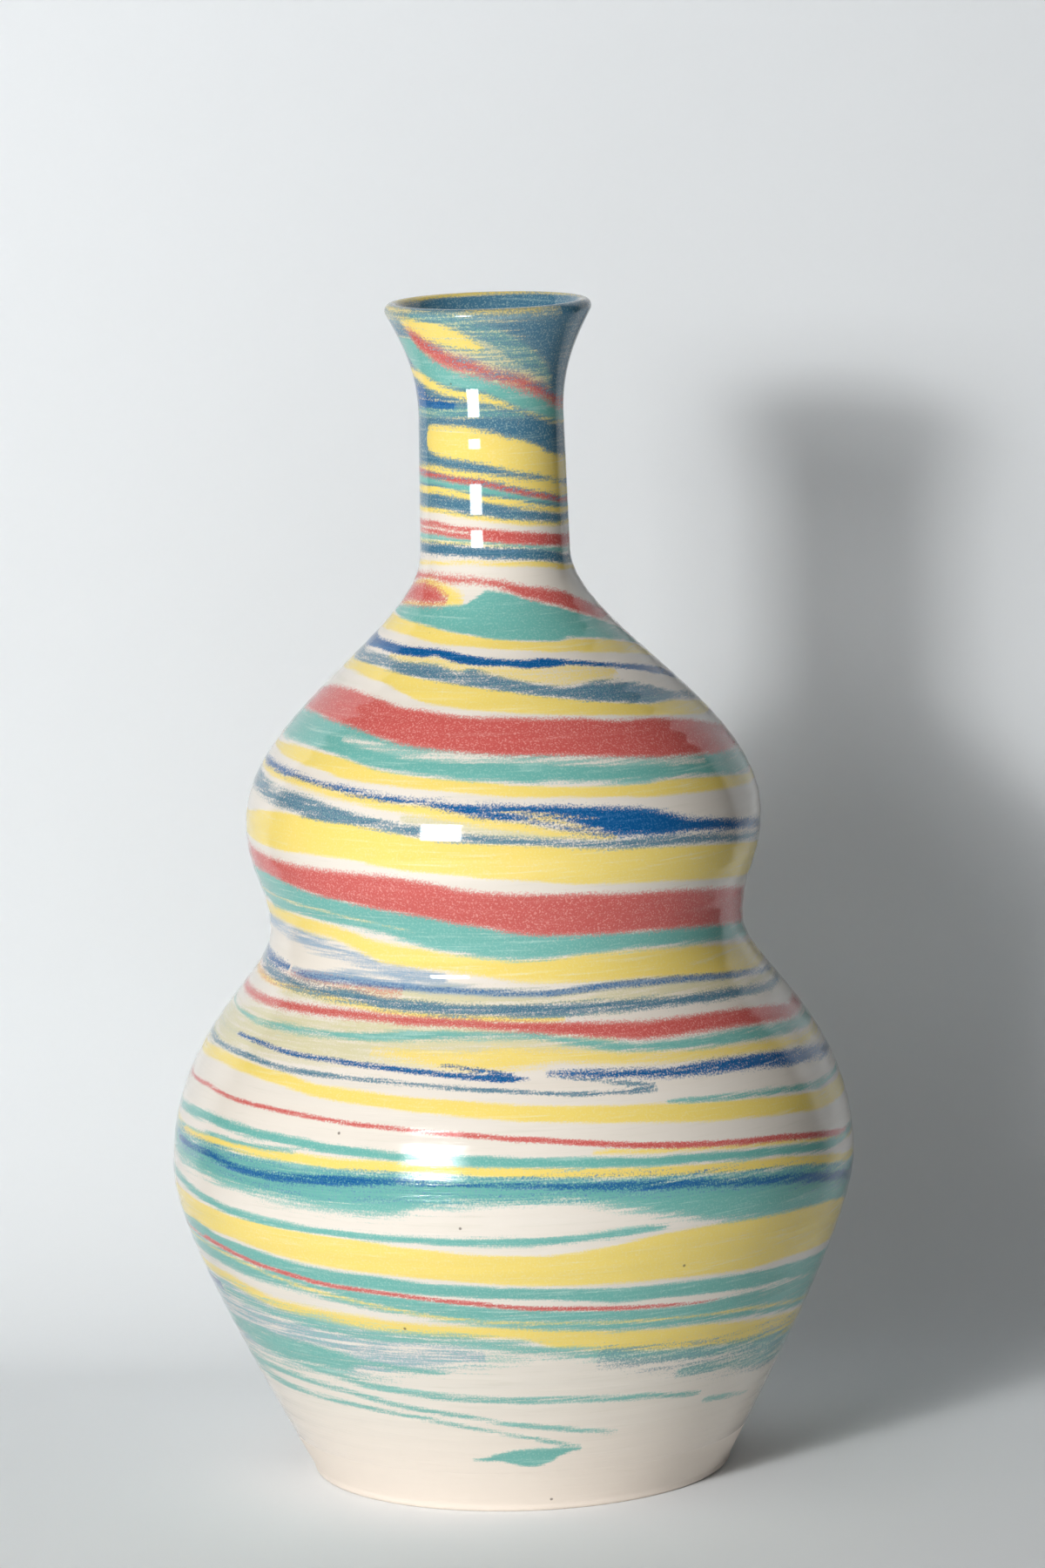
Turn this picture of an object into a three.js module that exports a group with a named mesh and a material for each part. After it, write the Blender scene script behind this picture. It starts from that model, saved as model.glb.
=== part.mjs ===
// Wheel-thrown double-gourd bottle vase in marbled clay, with a clear glaze outside and in.
// Units are millimetres. +Z is up and the origin is the middle of the flat foot.
import * as THREE from 'three';

// Finished outline, glaze included: the radius and height of each place where it turns
const vaseHeight = 270;
const footRadius = 47.5;
const bellyRadius = 78.5;
const bellyHeight = 72.5;
const waistRadius = 54.3;
const waistHeight = 127;
const bulbRadius = 59;
const bulbHeight = 152;
const neckRootRadius = 17.1;
const neckRootHeight = 213;
const neckTopRadius = 16.5;
const neckTopHeight = 244;
const lipRadius = 23.3;

// How far the wall runs on along each of those places before it bends away
const footFlareOut = 20.5;
const footFlareUp = 38.7;
const bellyRunBelow = 11;
const bellyRunAbove = 31.4;
const waistRunBelow = 11.6;
const waistRunAbove = 11.4;
const bulbRunBelow = 12.2;
const bulbRunAbove = 24;
const neckRunBelow = 17.5;
const neckRunAbove = 10.8;
const lipFlareOut = 3.4;
const lipFlareUp = 6.5;

// Clay
const clayWall = 5.2;
const clayFloor = 8;
const lipWall = 3.4;
const lipThinningLength = 26;
const floorCornerReach = 14;
const footBevel = 1.2;

// Clear glaze, the gap that keeps it off the clay, and the bare clay left above the foot
const glazeThickness = 0.4;
const fitGap = 0.3;
const bareFootHeight = 10;

// Fineness of the facets
const turnSegments = 40;
const outlineStep = 10;
const lipSteps = 4;
const cornerSteps = 3;

// The clay lies this deep under the finished surface, on both sides of the wall
const clayDepth = glazeThickness + fitGap;

function at(radius, height) {
  return new THREE.Vector2(radius, height);
}

// One smooth stretch of the outline, with the runs that it leaves and arrives along
function stretch(from, leaving, to, arriving) {
  const firstHandle = from.clone().add(leaving);
  const secondHandle = to.clone().sub(arriving);
  return new THREE.CubicBezierCurve(from, firstHandle, secondHandle, to);
}

// The outline from the foot to the outer edge of the lip
function outlineStretches() {
  const foot = at(footRadius, 0);
  const belly = at(bellyRadius, bellyHeight);
  const waist = at(waistRadius, waistHeight);
  const bulb = at(bulbRadius, bulbHeight);
  const neckRoot = at(neckRootRadius, neckRootHeight);
  const neckTop = at(neckTopRadius, neckTopHeight);
  const lipFlare = at(lipFlareOut, lipFlareUp);
  const lip = at(lipRadius, vaseHeight - lipRise(lipFlare));
  return [
    stretch(foot, at(footFlareOut, footFlareUp), belly, at(0, bellyRunBelow)),
    stretch(belly, at(0, bellyRunAbove), waist, at(0, waistRunBelow)),
    stretch(waist, at(0, waistRunAbove), bulb, at(0, bulbRunBelow)),
    stretch(bulb, at(0, bulbRunAbove), neckRoot, at(0, neckRunBelow)),
    new THREE.LineCurve(neckRoot, neckTop),
    stretch(neckTop, at(0, neckRunAbove), lip, lipFlare),
  ];
}

// How far the rounded crest of the lip stands above its outer edge
function lipRise(flare) {
  const crestRadius = lipWall / 2;
  return crestRadius * (1 + flare.x / flare.length());
}

// Unit vector to the left of a direction: from the finished surface into the clay
function leftOf(direction) {
  return at(-direction.y, direction.x).normalize();
}

// Places along the outline, each with its point and the direction into the wall
function outlinePlaces() {
  const stretches = outlineStretches();
  const places = [];
  for (const curve of stretches) {
    const steps = Math.max(2, Math.round(curve.getLength() / outlineStep));
    for (let i = 0; i < steps; i++) {
      places.push(placeOn(curve, i / steps));
    }
  }
  places.push(placeOn(stretches.at(-1), 1));
  return places;
}

function placeOn(curve, share) {
  return { point: curve.getPointAt(share), inward: leftOf(curve.getTangentAt(share)) };
}

// The places above a height, starting with one exactly at it
function placesAbove(places, height) {
  const next = places.findIndex((place) => place.point.y > height);
  const above = places[next];
  const below = places[next - 1];
  const share = (height - below.point.y) / (above.point.y - below.point.y);
  const start = {
    point: below.point.clone().lerp(above.point, share),
    inward: below.inward.clone().lerp(above.inward, share).normalize(),
  };
  return [start, ...places.slice(next)];
}

// Whole thickness of the wall, which thins towards the lip
function wallAt(height) {
  const fullWall = clayWall + 2 * clayDepth;
  const thinning = THREE.MathUtils.smoothstep(height, vaseHeight - lipThinningLength, vaseHeight);
  return THREE.MathUtils.lerp(fullWall, lipWall, thinning);
}

// The line at a depth under the finished outside
function outsideLine(places, depth) {
  return places.map((place) => place.point.clone().addScaledVector(place.inward, depth));
}

// The line at a depth behind the finished inside, from the floor corner up to the lip
function insideLine(places, depth) {
  const floor = clayFloor + clayDepth;
  const line = places.map((place) => {
    const reach = wallAt(place.point.y) - depth;
    return place.point.clone().addScaledVector(place.inward, reach);
  });
  const wall = line.filter((point) => point.y > floor + floorCornerReach);
  const wallStart = wall[0];
  const floorEnd = at(wallStart.x - floorCornerReach, floor - depth);
  const corner = at(wallStart.x - depth, floor - depth);
  const bend = new THREE.QuadraticBezierCurve(floorEnd, corner, wallStart);
  return [at(0, floor - depth), ...bend.getPoints(cornerSteps).slice(0, -1), ...wall];
}

// The rounded crest at a depth, from the outside of the lip over to the inside
function lipLine(places, depth) {
  const { point, inward } = places.at(-1);
  const wall = wallAt(point.y);
  const centre = point.clone().addScaledVector(inward, wall / 2);
  const spoke = inward.clone().multiplyScalar(-(wall / 2 - depth));
  const line = [];
  for (let i = 1; i < lipSteps; i++) {
    const turn = (Math.PI * i) / lipSteps;
    line.push(spoke.clone().rotateAround(at(0, 0), turn).add(centre));
  }
  return line;
}

// Turns a profile about the upright axis, and stands it up along Z
function thrown(profile) {
  const geometry = new THREE.LatheGeometry(profile, turnSegments);
  geometry.rotateX(Math.PI / 2);
  return geometry;
}

function closed(profile) {
  return [...profile, profile[0].clone()];
}

// The clay bottle: flat foot with a bevelled edge, wall, rounded lip, inside and floor
function clayBody(places) {
  const wallPlaces = placesAbove(places, footBevel);
  const outside = outsideLine(wallPlaces, clayDepth);
  const inside = insideLine(places, clayDepth);
  const footEdge = at(footRadius - clayDepth - footBevel, 0);
  return [at(0, 0), footEdge, ...outside, ...lipLine(places, clayDepth), ...inside.reverse()];
}

// The outside glaze: from the bare foot up the wall and over the lip
function outsideGlaze(places) {
  const glazed = placesAbove(places, bareFootHeight);
  const face = [...outsideLine(glazed, 0), ...lipLine(places, 0)];
  const back = [...outsideLine(glazed, glazeThickness), ...lipLine(places, glazeThickness)];
  return closed([...face, ...back.reverse()]);
}

// The inside glaze: one cup-shaped coat from the floor up to the lip
function insideGlaze(places) {
  const face = insideLine(places, 0);
  const back = insideLine(places, glazeThickness);
  return [...back, ...face.reverse()];
}

function clay(colour, roughness) {
  return new THREE.MeshStandardMaterial({ color: colour, roughness, metalness: 0 });
}

function named(name, profile, material) {
  const mesh = new THREE.Mesh(thrown(profile), material);
  mesh.name = name;
  return mesh;
}

const places = outlinePlaces();
const vase = new THREE.Group();
vase.add(
  named('clay_body', clayBody(places), clay(0xecdfcb, 0.6)),
  named('outside_glaze', outsideGlaze(places), clay(0xf3efe6, 0.1)),
  named('inside_glaze', insideGlaze(places), clay(0xe4ded2, 0.15)),
);

export default vase;
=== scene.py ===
# Wheel-thrown double-gourd bottle vase in marbled clay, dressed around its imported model.
# Metres, +Z up, origin in the middle of the foot, front of the vase towards -Y.
import math
from typing import NamedTuple

import bmesh
import bpy
import numpy as np
from bpy.props import FloatProperty, FloatVectorProperty, PointerProperty
from mathutils import Matrix, Vector
from mathutils.geometry import interpolate_bezier


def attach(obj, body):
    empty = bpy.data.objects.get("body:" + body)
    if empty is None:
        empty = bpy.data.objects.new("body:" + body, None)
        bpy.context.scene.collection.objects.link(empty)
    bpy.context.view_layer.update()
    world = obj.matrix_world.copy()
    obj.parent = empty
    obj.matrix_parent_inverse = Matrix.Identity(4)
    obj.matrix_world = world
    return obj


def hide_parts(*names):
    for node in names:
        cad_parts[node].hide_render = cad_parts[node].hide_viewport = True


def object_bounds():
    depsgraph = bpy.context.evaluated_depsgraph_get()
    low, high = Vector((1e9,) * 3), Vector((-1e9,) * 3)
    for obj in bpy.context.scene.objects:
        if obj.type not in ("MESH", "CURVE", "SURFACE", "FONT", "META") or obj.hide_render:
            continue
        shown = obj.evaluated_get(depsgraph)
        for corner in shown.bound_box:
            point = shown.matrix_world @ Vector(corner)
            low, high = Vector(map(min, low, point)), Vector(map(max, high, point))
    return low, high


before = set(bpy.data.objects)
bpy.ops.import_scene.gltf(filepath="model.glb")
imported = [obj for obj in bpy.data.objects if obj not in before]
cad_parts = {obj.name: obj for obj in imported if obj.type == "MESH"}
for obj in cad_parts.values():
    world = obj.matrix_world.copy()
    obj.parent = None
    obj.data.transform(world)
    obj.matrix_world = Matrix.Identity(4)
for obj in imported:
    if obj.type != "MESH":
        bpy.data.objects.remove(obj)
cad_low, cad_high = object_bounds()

bl_info = {
    "name": "Marbled Clay Bottle Vase",
    "version": (1, 0, 0),
    "blender": (4, 5, 0),
    "location": "3D View > Sidebar > Vase",
    "description": "Throws a marbled clay bottle vase and stands it in a pale studio",
    "category": "Add Mesh",
}

MM = 0.001

# How far the wall runs on along each turning place of the outline before it bends away
FOOT_FLARE = Vector((20.5, 38.7)) * MM
BELLY_RUN_BELOW = 11 * MM
BELLY_RUN_ABOVE = 31.4 * MM
WAIST_RUN_BELOW = 11.6 * MM
WAIST_RUN_ABOVE = 11.4 * MM
BULB_RUN_BELOW = 12.2 * MM
BULB_RUN_ABOVE = 24 * MM
NECK_RUN_BELOW = 17.5 * MM
NECK_RUN_ABOVE = 10.8 * MM
LIP_FLARE = Vector((3.4, 6.5)) * MM
LIP_THINNING_LENGTH = 26 * MM
FLOOR_CORNER_REACH = 14 * MM

# The glaze inside is a coat of its own: how deep it lies, how far under the lip it ends, and over
# what height the coat and the clay behind it close there
COAT_THICKNESS = 0.4 * MM
COAT_GAP = 0.3 * MM
COAT_TUCK = 3 * MM
COAT_CLOSING = 2 * MM
CLAY_CLOSING = 1 * MM

# How far the lower edge of the glaze outside reaches below and above its line
GLAZE_EDGE_BELOW = 1 * MM
GLAZE_EDGE_ABOVE = 2 * MM

# The throwing rings fade out over this height below the neck, and raise only what lies this near
# the outline
RING_FADE = 12 * MM
OUTSIDE_DEPTH = 1 * MM

# Fineness of the meshes
OUTLINE_SAMPLES = 400
ROW_STEP = 0.6 * MM
INNER_ROW_STEP = 5 * MM
COAT_ROW_STEP = 2 * MM
FRONT_TURN = 200
BODY_COLUMNS = (120, 40)
COAT_COLUMNS = (48, 32)
BEND_STEPS = 8
SWEEP_STEPS = 24
WELD = 0.001 * MM

# Flat facets that fingers pressed into the neck while closing it: middle height and length in mm
# and upward tilt in degrees, and where round the neck they lie
COLLAR_MARKS = (
    (248.4, 6.2, 10.9),
    (239.1, 1.6, 10.9),
    (226.6, 6.4, 10.9),
    (217.7, 3.3, 10.9),
    (211.4, 7.7, 18),
)
COLLAR_MARK_EDGE = 0.8 * MM
COLLAR_MARK_TURN = math.radians(-15)
COLLAR_MARK_HALF_TURN = math.radians(12)
COLLAR_MARK_END_TURN = math.radians(36)

# The belly leans back a little more where the photograph's highlight lies
BELLY_LEAN = math.radians(2.2)
BELLY_LEAN_HEIGHT = 86 * MM
BELLY_LEAN_REACH = 15 * MM
BELLY_LEAN_END = 30 * MM
BELLY_LEAN_TURN = math.radians(-26)
BELLY_LEAN_HALF_TURN = math.radians(25)
BELLY_LEAN_END_TURN = math.radians(50)

# The camera that the photograph was taken with: film and lens in mm, angles in degrees
PHOTO_WIDTH = 1200
PHOTO_HEIGHT = 1800
SENSOR = 36
LENS = 162.4
CAMERA_DISTANCE = 1600 * MM
CAMERA_HEIGHT = 412.74 * MM
CAMERA_YAW = 0.165
CAMERA_PITCH = -9.019
CAMERA_ROLL = -1.725

# Steps along a ray of the camera, over the depth of the vase
RAY_STEPS = 900

# Softness of the edge of a streak, as the width over which it fades
THREAD = 0.3 * MM
CRISP = 0.45 * MM
SOFT = 0.8 * MM
FUZZY = 1.4 * MM
HAZE = 2.4 * MM

# How full a streak gets at its middle, where a wash only tints the clay under it, and how empty of
# a clay the wall is where no streak brings it
FULL = 3.0
UNTOUCHED = -4.0

# Two touching streaks mingle over this much of their soft edge, and each spreads by this much of it
OVERLAP = 0.7
SPREAD = 0.3

# Streaks run on round the back, in degrees of turn: one that was still there at the edge of the
# view thins out over a long way, one that ended in view over a short one, and both sink as they go
EDGE_TURN = 62
TAPER_TURN = 60
TIP_TURN = 3
SINK_PER_TURN = 14 * MM

# A streak that leads to another eases down to it in this many steps
BACK_STEPS = 12

# The edges of a streak are read off every so many degrees, and rounded over this many such steps.
# Two of its stations that lie at one turn are set this little apart
TURN_STEP = 0.5
SMOOTH_STEPS = 5
LEAST_TURN = 1e-6

# A streak whose upper edge is above this row of the photograph goes on over the lip
LIP_ROW = 345
OVER_LIP = 30 * MM

# Colours that the cream clay turns to: paler clay blended in, faint wisps of colour, the warm
# blush above the bare foot made paler as painted bounce light off the floor, and the clay in a pinhole
PALE_CREAM = "#EFE8DE"
FAINT_WISP = "#D8D2C0"
BLUSH_AND_PAINTED_BOUNCE = "#F6E8DA"
PINHOLE_BROWN = "#5C4C40"

# Grains of stain in the clay, drawn coarser than real ones so that they show
GRAIN = 0.42 * MM
# Smears and blends of clay, drawn out along the turn: their length, and how much finer they are
# up the wall
SMEAR = 17 * MM
SMEAR_STRETCH = 22
BLEND = 60 * MM
BLEND_STRETCH = 14
SMEAR_DETAIL = 5
SMEAR_ROUGHNESS = 0.6
# The part of each noise that shows as pale specks or wisps, and how much wisps tint the cream
SPECK_WINDOW = (0.5, 0.72)
WISP_WINDOW = (0.52, 0.75)
WISP_SHARE = 0.35
# The waves in the lower edge of the glaze, and the warm blush above it, paler as painted bounce light
GLAZE_WAVE = 3 * MM
BLUSH_AND_BOUNCE_REACH = 26 * MM
BLUSH_AND_BOUNCE_SHARE = 0.75
# Pinholes in the glaze: how far apart, how wide and how dark
PINHOLE_SPACING = 16 * MM
PINHOLE_WIDTH = 0.45 * MM
PINHOLE_SHARE = 0.75
# Finish of the glaze and of the bare clay
GLAZE_IOR = 1.52
GLAZE_ROUGHNESS = 0.06
BARE_ROUGHNESS = 0.62
RIPPLE = 5 * MM
RIPPLE_HEIGHT = 0.01 * MM
SMEAR_HEIGHT = 0.09 * MM

# The paper of the stage: the size and depth of its tooth, drawn coarser than real so that it
# shows, its lift off the floor, and the reach of the floor
PAPER_TOOTH = 1.5 * MM
TOOTH_SHADE = 0.99
PAPER_LIFT = 0.1 * MM
FLOOR_REACH = 8

# The pale room: its colour and brightness, where the floor fades into it, and how far behind the
# vase, as a share of straight back, it starts to show in a shine
ROOM_COLOUR = "#F2F5F8"
ROOM_GLOW = 0.85
FAR_GLOW = 0.8
FAR_FLOOR = (0.3, 0.8)
SHINE_WINDOW = (0.55, 0.65)

# The bright middle of the main light stands out from it, and is this many times smaller
CORE_LEAD = 5 * MM
KEY_TO_CORE = 3

# Sockets of a colour Mix node
MIX_FACTOR = 0
MIX_A = 6
MIX_B = 7
MIX_RESULT = 2


class Mingling(NamedTuple):
    """How one clay mingles with its neighbours."""

    pale: str
    grainy_edge: float
    smeared_edge: float
    specks: float
    wisps: float


# The coloured clays, from the one that lies lowest to the one that covers the others
CLAYS = {
    "mist": Mingling("#D3D9DC", 0.8, 3.0, 0.3, 0.6),
    "olive": Mingling("#E9E2D0", 1.2, 2.4, 0.3, 0.6),
    "yellow": Mingling("#F6ECC4", 1.2, 1.6, 0.25, 0.5),
    "green": Mingling("#B4D8CE", 1.2, 2.4, 0.35, 0.7),
    "red": Mingling("#EDA9A2", 1.8, 1.0, 0.6, 0.2),
    "slate": Mingling("#9DB9B6", 1.8, 2.0, 0.6, 0.5),
    "blue": Mingling("#5C93C2", 1.8, 1.6, 0.4, 0.35),
}


class Streak(NamedTuple):
    """One streak of clay as the photograph shows it.

    Each station is a column of the photograph and the rows of the streak's upper and lower edge
    there. leads_to names the streak that it becomes once it has gone round the back, and a streak
    that doesn't cover only shows where the clays around it thin out.
    """

    clay: str
    edge: float
    fullest: float
    stations: list
    leads_to: str = ""
    covers: bool = True


STREAKS = {
    "neck ground": Streak("slate", FUZZY, FULL, [
        (470, 330, 570), (480, 330, 572), (538, 330, 583), (604, 330, 592), (645, 330, 594)],
        "neck ground"),
    "mouth yellow": Streak("yellow", CRISP, FULL, [
        (660, 344, 345), (668, 344, 345), (672, 344, 345)], "lip yellow"),
    "lip yellow": Streak("yellow", SOFT, FULL, [(451, 349, 358), (460, 352, 358), (470, 355, 358)]),
    "lip olive": Streak("olive", HAZE, 0.6, [
        (454, 356, 372), (480, 357, 374), (520, 357, 376), (560, 354, 370), (600, 354, 364),
        (640, 352, 360)]),
    "lip tint": Streak("yellow", SOFT, 0.6, [
        (540, 354, 360), (580, 353, 360), (620, 352, 358)]),
    "lip mingling": Streak("green", HAZE, 0.56, [
        (470, 360, 384), (520, 364, 390), (560, 372, 404), (600, 392, 420), (630, 424, 440)]),
    "wedge olive": Streak("olive", FUZZY, 1.1, [
        (470, 364, 384), (500, 370, 404), (520, 374, 412), (545, 384, 424), (565, 394, 430),
        (590, 412, 434), (612, 424, 440), (630, 434, 446)]),
    "neck wedge": Streak("yellow", SOFT, 2.0, [
        (460, 363, 372), (472, 364, 384), (488, 367, 392), (512, 373, 398), (536, 384, 404),
        (552, 396, 405)]),
    "neck green": Streak("green", SOFT, FULL, [
        (470, 387, 412), (478, 390, 425), (488, 395, 433), (512, 412, 445), (532, 420, 448),
        (558, 430, 453), (584, 436, 464), (600, 438, 472), (620, 444, 478), (634, 454, 484),
        (645, 460, 487)], "second neck green"),
    "neck red": Streak("red", FUZZY, 1.8, [
        (466, 379, 380), (474, 381, 390), (484, 388, 401), (500, 398, 413), (520, 408, 423),
        (547, 417, 429), (567, 426, 436), (590, 431, 442), (603, 433, 446), (617, 440, 451),
        (632, 447, 459), (642, 453, 465)], "second neck red"),
    "neck yellow": Streak("yellow", SOFT, FULL, [
        (480, 423, 436), (493, 433, 448), (512, 443, 455), (529, 447, 459), (558, 451, 465),
        (577, 459, 469), (600, 470, 475), (634, 481, 485)],
        "third neck yellow"),
    "neck mingling": Streak("green", FUZZY, 0.7, [
        (480, 464, 478), (520, 464, 480), (560, 468, 480), (600, 474, 482)]),
    "neck slate": Streak("slate", SOFT, 1.2, [
        (480, 478, 486), (488, 479, 486), (512, 479, 487), (536, 478, 487), (558, 479, 491),
        (584, 479, 499), (604, 480, 504), (615, 482, 509), (629, 484, 517), (640, 487, 520)],
        "third neck slate"),
    "neck blue": Streak("blue", SOFT, 0.9, [
        (478, 440, 464), (486, 444, 466), (492, 456, 466), (504, 459, 468), (520, 463, 467)]),
    "slate behind patch": Streak("slate", FUZZY, 1.0, [
        (476, 484, 530), (484, 484, 530), (491, 486, 528)]),
    "neck patch": Streak("yellow", SOFT, FULL, [
        (492, 488, 520), (496, 487, 521), (508, 487, 527), (534, 488, 531), (559, 494, 535),
        (578, 499, 540), (600, 503, 544), (616, 509, 546), (629, 517, 549), (645, 521, 552)],
        "fourth neck yellow"),
    "second neck slate": Streak("slate", CRISP, 1.0, [
        (478, 521, 531), (484, 523, 532), (502, 525, 533), (521, 531, 537), (546, 532, 541),
        (572, 539, 545), (600, 544, 548), (617, 546, 549), (627, 547, 548)]),
    "second neck yellow": Streak("yellow", SOFT, FULL, [
        (480, 531, 538), (502, 533, 544), (521, 537, 549), (547, 541, 552), (572, 545, 556),
        (604, 548, 564), (629, 549, 568), (645, 552, 572)]),
    "second neck green": Streak("green", CRISP, FULL, [
        (478, 541, 554), (484, 542, 555), (502, 548, 557), (521, 551, 562), (538, 554, 565),
        (559, 558, 568), (578, 562, 571), (604, 568, 575), (629, 571, 578), (645, 575, 580)],
        "third neck green"),
    "second neck red": Streak("red", CRISP, FULL, [
        (478, 534, 541), (502, 543, 549), (534, 549, 555), (552, 551, 557), (578, 557, 563),
        (604, 563, 569), (629, 567, 573), (645, 571, 577)], "third neck red"),
    "third neck yellow": Streak("yellow", CRISP, FULL, [
        (480, 556, 565), (502, 557, 568), (538, 565, 574), (559, 569, 578), (578, 571, 582),
        (604, 575, 586), (629, 579, 588), (645, 581, 590)],
        "fifth neck yellow"),
    "third neck slate": Streak("slate", SOFT, 1.2, [
        (480, 566, 577), (502, 568, 582), (521, 572, 585), (538, 575, 590), (559, 578, 591),
        (578, 582, 595), (604, 586, 596), (629, 588, 598), (645, 590, 598)], "fourth neck slate"),
    "fourth neck yellow": Streak("yellow", CRISP, FULL, [
        (480, 578, 585), (508, 583, 589), (538, 590, 595), (559, 592, 598), (578, 595, 600),
        (604, 597, 603), (635, 598, 603)], "sixth neck yellow"),
    "third neck red": Streak("red", CRISP, FULL, [
        (478, 594, 600), (502, 599, 604), (521, 604, 608), (538, 606, 611), (559, 608, 616),
        (578, 610, 623), (600, 611, 624), (623, 612, 625), (645, 614, 626)], "neck root red"),
    "third neck red, lower": Streak("red", CRISP, FULL, [
        (478, 604, 608), (502, 608, 612), (521, 612, 616), (538, 614, 618), (559, 616, 621),
        (572, 618, 622)]),
    "third neck green": Streak("green", SOFT, 1.0, [
        (480, 611, 616), (508, 615, 619), (538, 619, 622), (578, 623, 626), (620, 626, 630),
        (645, 630, 634)]),
    "fifth neck yellow": Streak("yellow", SOFT, 1.0, [
        (480, 616, 621), (538, 622, 625), (600, 626, 628)]),
    "fourth neck slate": Streak("slate", CRISP, FULL, [
        (476, 622, 631), (502, 624, 636), (521, 626, 637), (546, 628, 639), (597, 630, 641),
        (625, 632, 643), (648, 636, 645)], "shoulder slate"),
    "fourth neck blue": Streak("blue", SOFT, -0.9, [
        (480, 624, 632), (538, 628, 638), (597, 632, 640)], covers=False),
    "sixth neck yellow": Streak("yellow", CRISP, FULL, [
        (481, 642, 646), (540, 644, 647), (600, 645, 649), (620, 644, 650), (648, 648, 653)]),
    "neck ground shows": Streak("olive", FUZZY, FULL, [
        (470, 330, 566), (480, 330, 568), (538, 330, 580), (604, 330, 588), (645, 330, 590)],
        "neck ground shows", covers=False),
    "neck root red": Streak("red", SOFT, FULL, [
        (474, 656, 664), (494, 658, 662), (518, 662, 668), (549, 664, 668), (581, 669, 676),
        (605, 674, 686), (621, 676, 689), (640, 678, 694), (651, 681, 697), (660, 685, 700),
        (690, 698, 709)], "first red"),
    "shoulder green": Streak("green", CRISP, FULL, [
        (440, 694, 700), (462, 694, 708), (480, 695, 714), (510, 696, 722), (534, 695, 727),
        (549, 685, 730), (558, 679, 732), (581, 681, 734), (605, 688, 735), (640, 697, 735),
        (651, 701, 731), (666, 705, 730), (681, 709, 731), (712, 721, 733), (745, 732, 738)],
        "upper green"),
    "blob fringe": Streak("yellow", FUZZY, FULL, [
        (466, 684, 694), (480, 666, 695), (495, 664, 695), (512, 672, 695), (528, 684, 694)]),
    "red blob": Streak("red", FUZZY, FULL, [
        (462, 676, 690), (470, 672, 689), (478, 670, 690), (488, 669, 692), (502, 676, 692),
        (511, 685, 691)]),
    "shoulder yellow": Streak("yellow", CRISP, FULL, [
        (430, 703, 712), (438, 703, 717), (454, 704, 724), (470, 712, 729), (494, 718, 736),
        (510, 725, 739), (534, 729, 741), (565, 733, 744), (605, 737, 746), (640, 737, 748),
        (658, 734, 747), (697, 734, 748), (730, 739, 749), (760, 746, 752)], "upper yellow"),
    "shoulder haze": Streak("yellow", FUZZY, 0.2, [
        (454, 751, 757), (502, 757, 763), (549, 765, 772), (600, 768, 780), (643, 765, 784),
        (666, 766, 780), (700, 768, 776)], covers=False),
    "shoulder slate": Streak("slate", SOFT, 0.8, [
        (404, 739, 750), (422, 748, 761), (438, 752, 763), (462, 761, 772), (478, 763, 776),
        (502, 765, 780), (526, 774, 784), (541, 769, 787), (557, 773, 790), (581, 780, 792),
        (613, 786, 796), (640, 790, 799), (660, 789, 801), (687, 782, 804), (714, 783, 805),
        (745, 787, 806), (771, 794, 801), (800, 794, 799)], "upper slate"),
    "shoulder blue": Streak("blue", CRISP, FULL, [
        (419, 725, 738), (436, 732, 742), (454, 738, 750), (470, 742, 752), (486, 744, 754),
        (502, 745, 752), (518, 748, 758), (549, 755, 764), (581, 758, 764), (605, 758, 767),
        (621, 756, 766), (640, 757, 764), (651, 758, 762), (681, 760, 764), (712, 762, 766),
        (735, 763, 769), (758, 766, 773), (790, 772, 778)], "upper blue"),
    "second shoulder yellow": Streak("yellow", CRISP, FULL, [
        (392, 752, 764), (406, 755, 768), (422, 760, 776), (438, 766, 782), (454, 771, 790),
        (486, 779, 806), (518, 784, 811), (549, 789, 815), (581, 793, 817), (618, 799, 819),
        (657, 803, 820), (695, 806, 820), (745, 808, 820), (771, 803, 820), (810, 804, 818)],
        "upper bold yellow"),
    "upper green": Streak("green", SOFT, FULL, [
        (325, 808, 838), (354, 808, 852), (376, 819, 861), (407, 829, 872), (434, 839, 882),
        (463, 848, 886), (491, 853, 890), (530, 858, 894), (581, 861, 896), (609, 862, 899),
        (637, 862, 895), (695, 863, 897), (743, 863, 896), (752, 863, 892), (790, 863, 889),
        (823, 861, 888), (850, 862, 886)], "waist green"),
    "pale lines in green": Streak("cream", SOFT, 0.0, [
        (400, 846, 850), (430, 854, 859), (470, 862, 868), (530, 867, 872), (600, 870, 875),
        (680, 871, 876), (760, 872, 876), (800, 872, 874)]),
    "first red": Streak("red", SOFT, FULL, [
        (352, 792, 811), (366, 788, 817), (382, 787, 826), (392, 789, 829), (407, 792, 834),
        (424, 798, 841), (442, 805, 848), (463, 813, 853), (491, 817, 858), (520, 822, 862),
        (549, 825, 865), (581, 825, 866), (618, 826, 866), (666, 825, 867), (704, 828, 868),
        (733, 826, 868), (762, 825, 868), (790, 826, 866), (828, 832, 862)], "second red"),
    "upper yellow": Streak("yellow", CRISP, FULL, [
        (319, 849, 857), (338, 855, 872), (367, 863, 882), (396, 871, 893), (434, 884, 899),
        (463, 890, 903), (510, 895, 907), (549, 898, 911), (581, 901, 914), (657, 904, 914),
        (704, 903, 914), (746, 900, 914), (771, 895, 911), (827, 891, 905), (858, 888, 898)],
        "waist yellow"),
    "upper yellow thread": Streak("yellow", SOFT, 1.0, [
        (308, 876, 886), (338, 891, 899), (382, 905, 915), (415, 912, 922), (453, 922, 931),
        (491, 925, 937), (530, 932, 943), (568, 941, 950), (600, 944, 953), (640, 953, 960),
        (700, 957, 963)]),
    "upper olive": Streak("olive", FUZZY, 0.4, [
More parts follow.
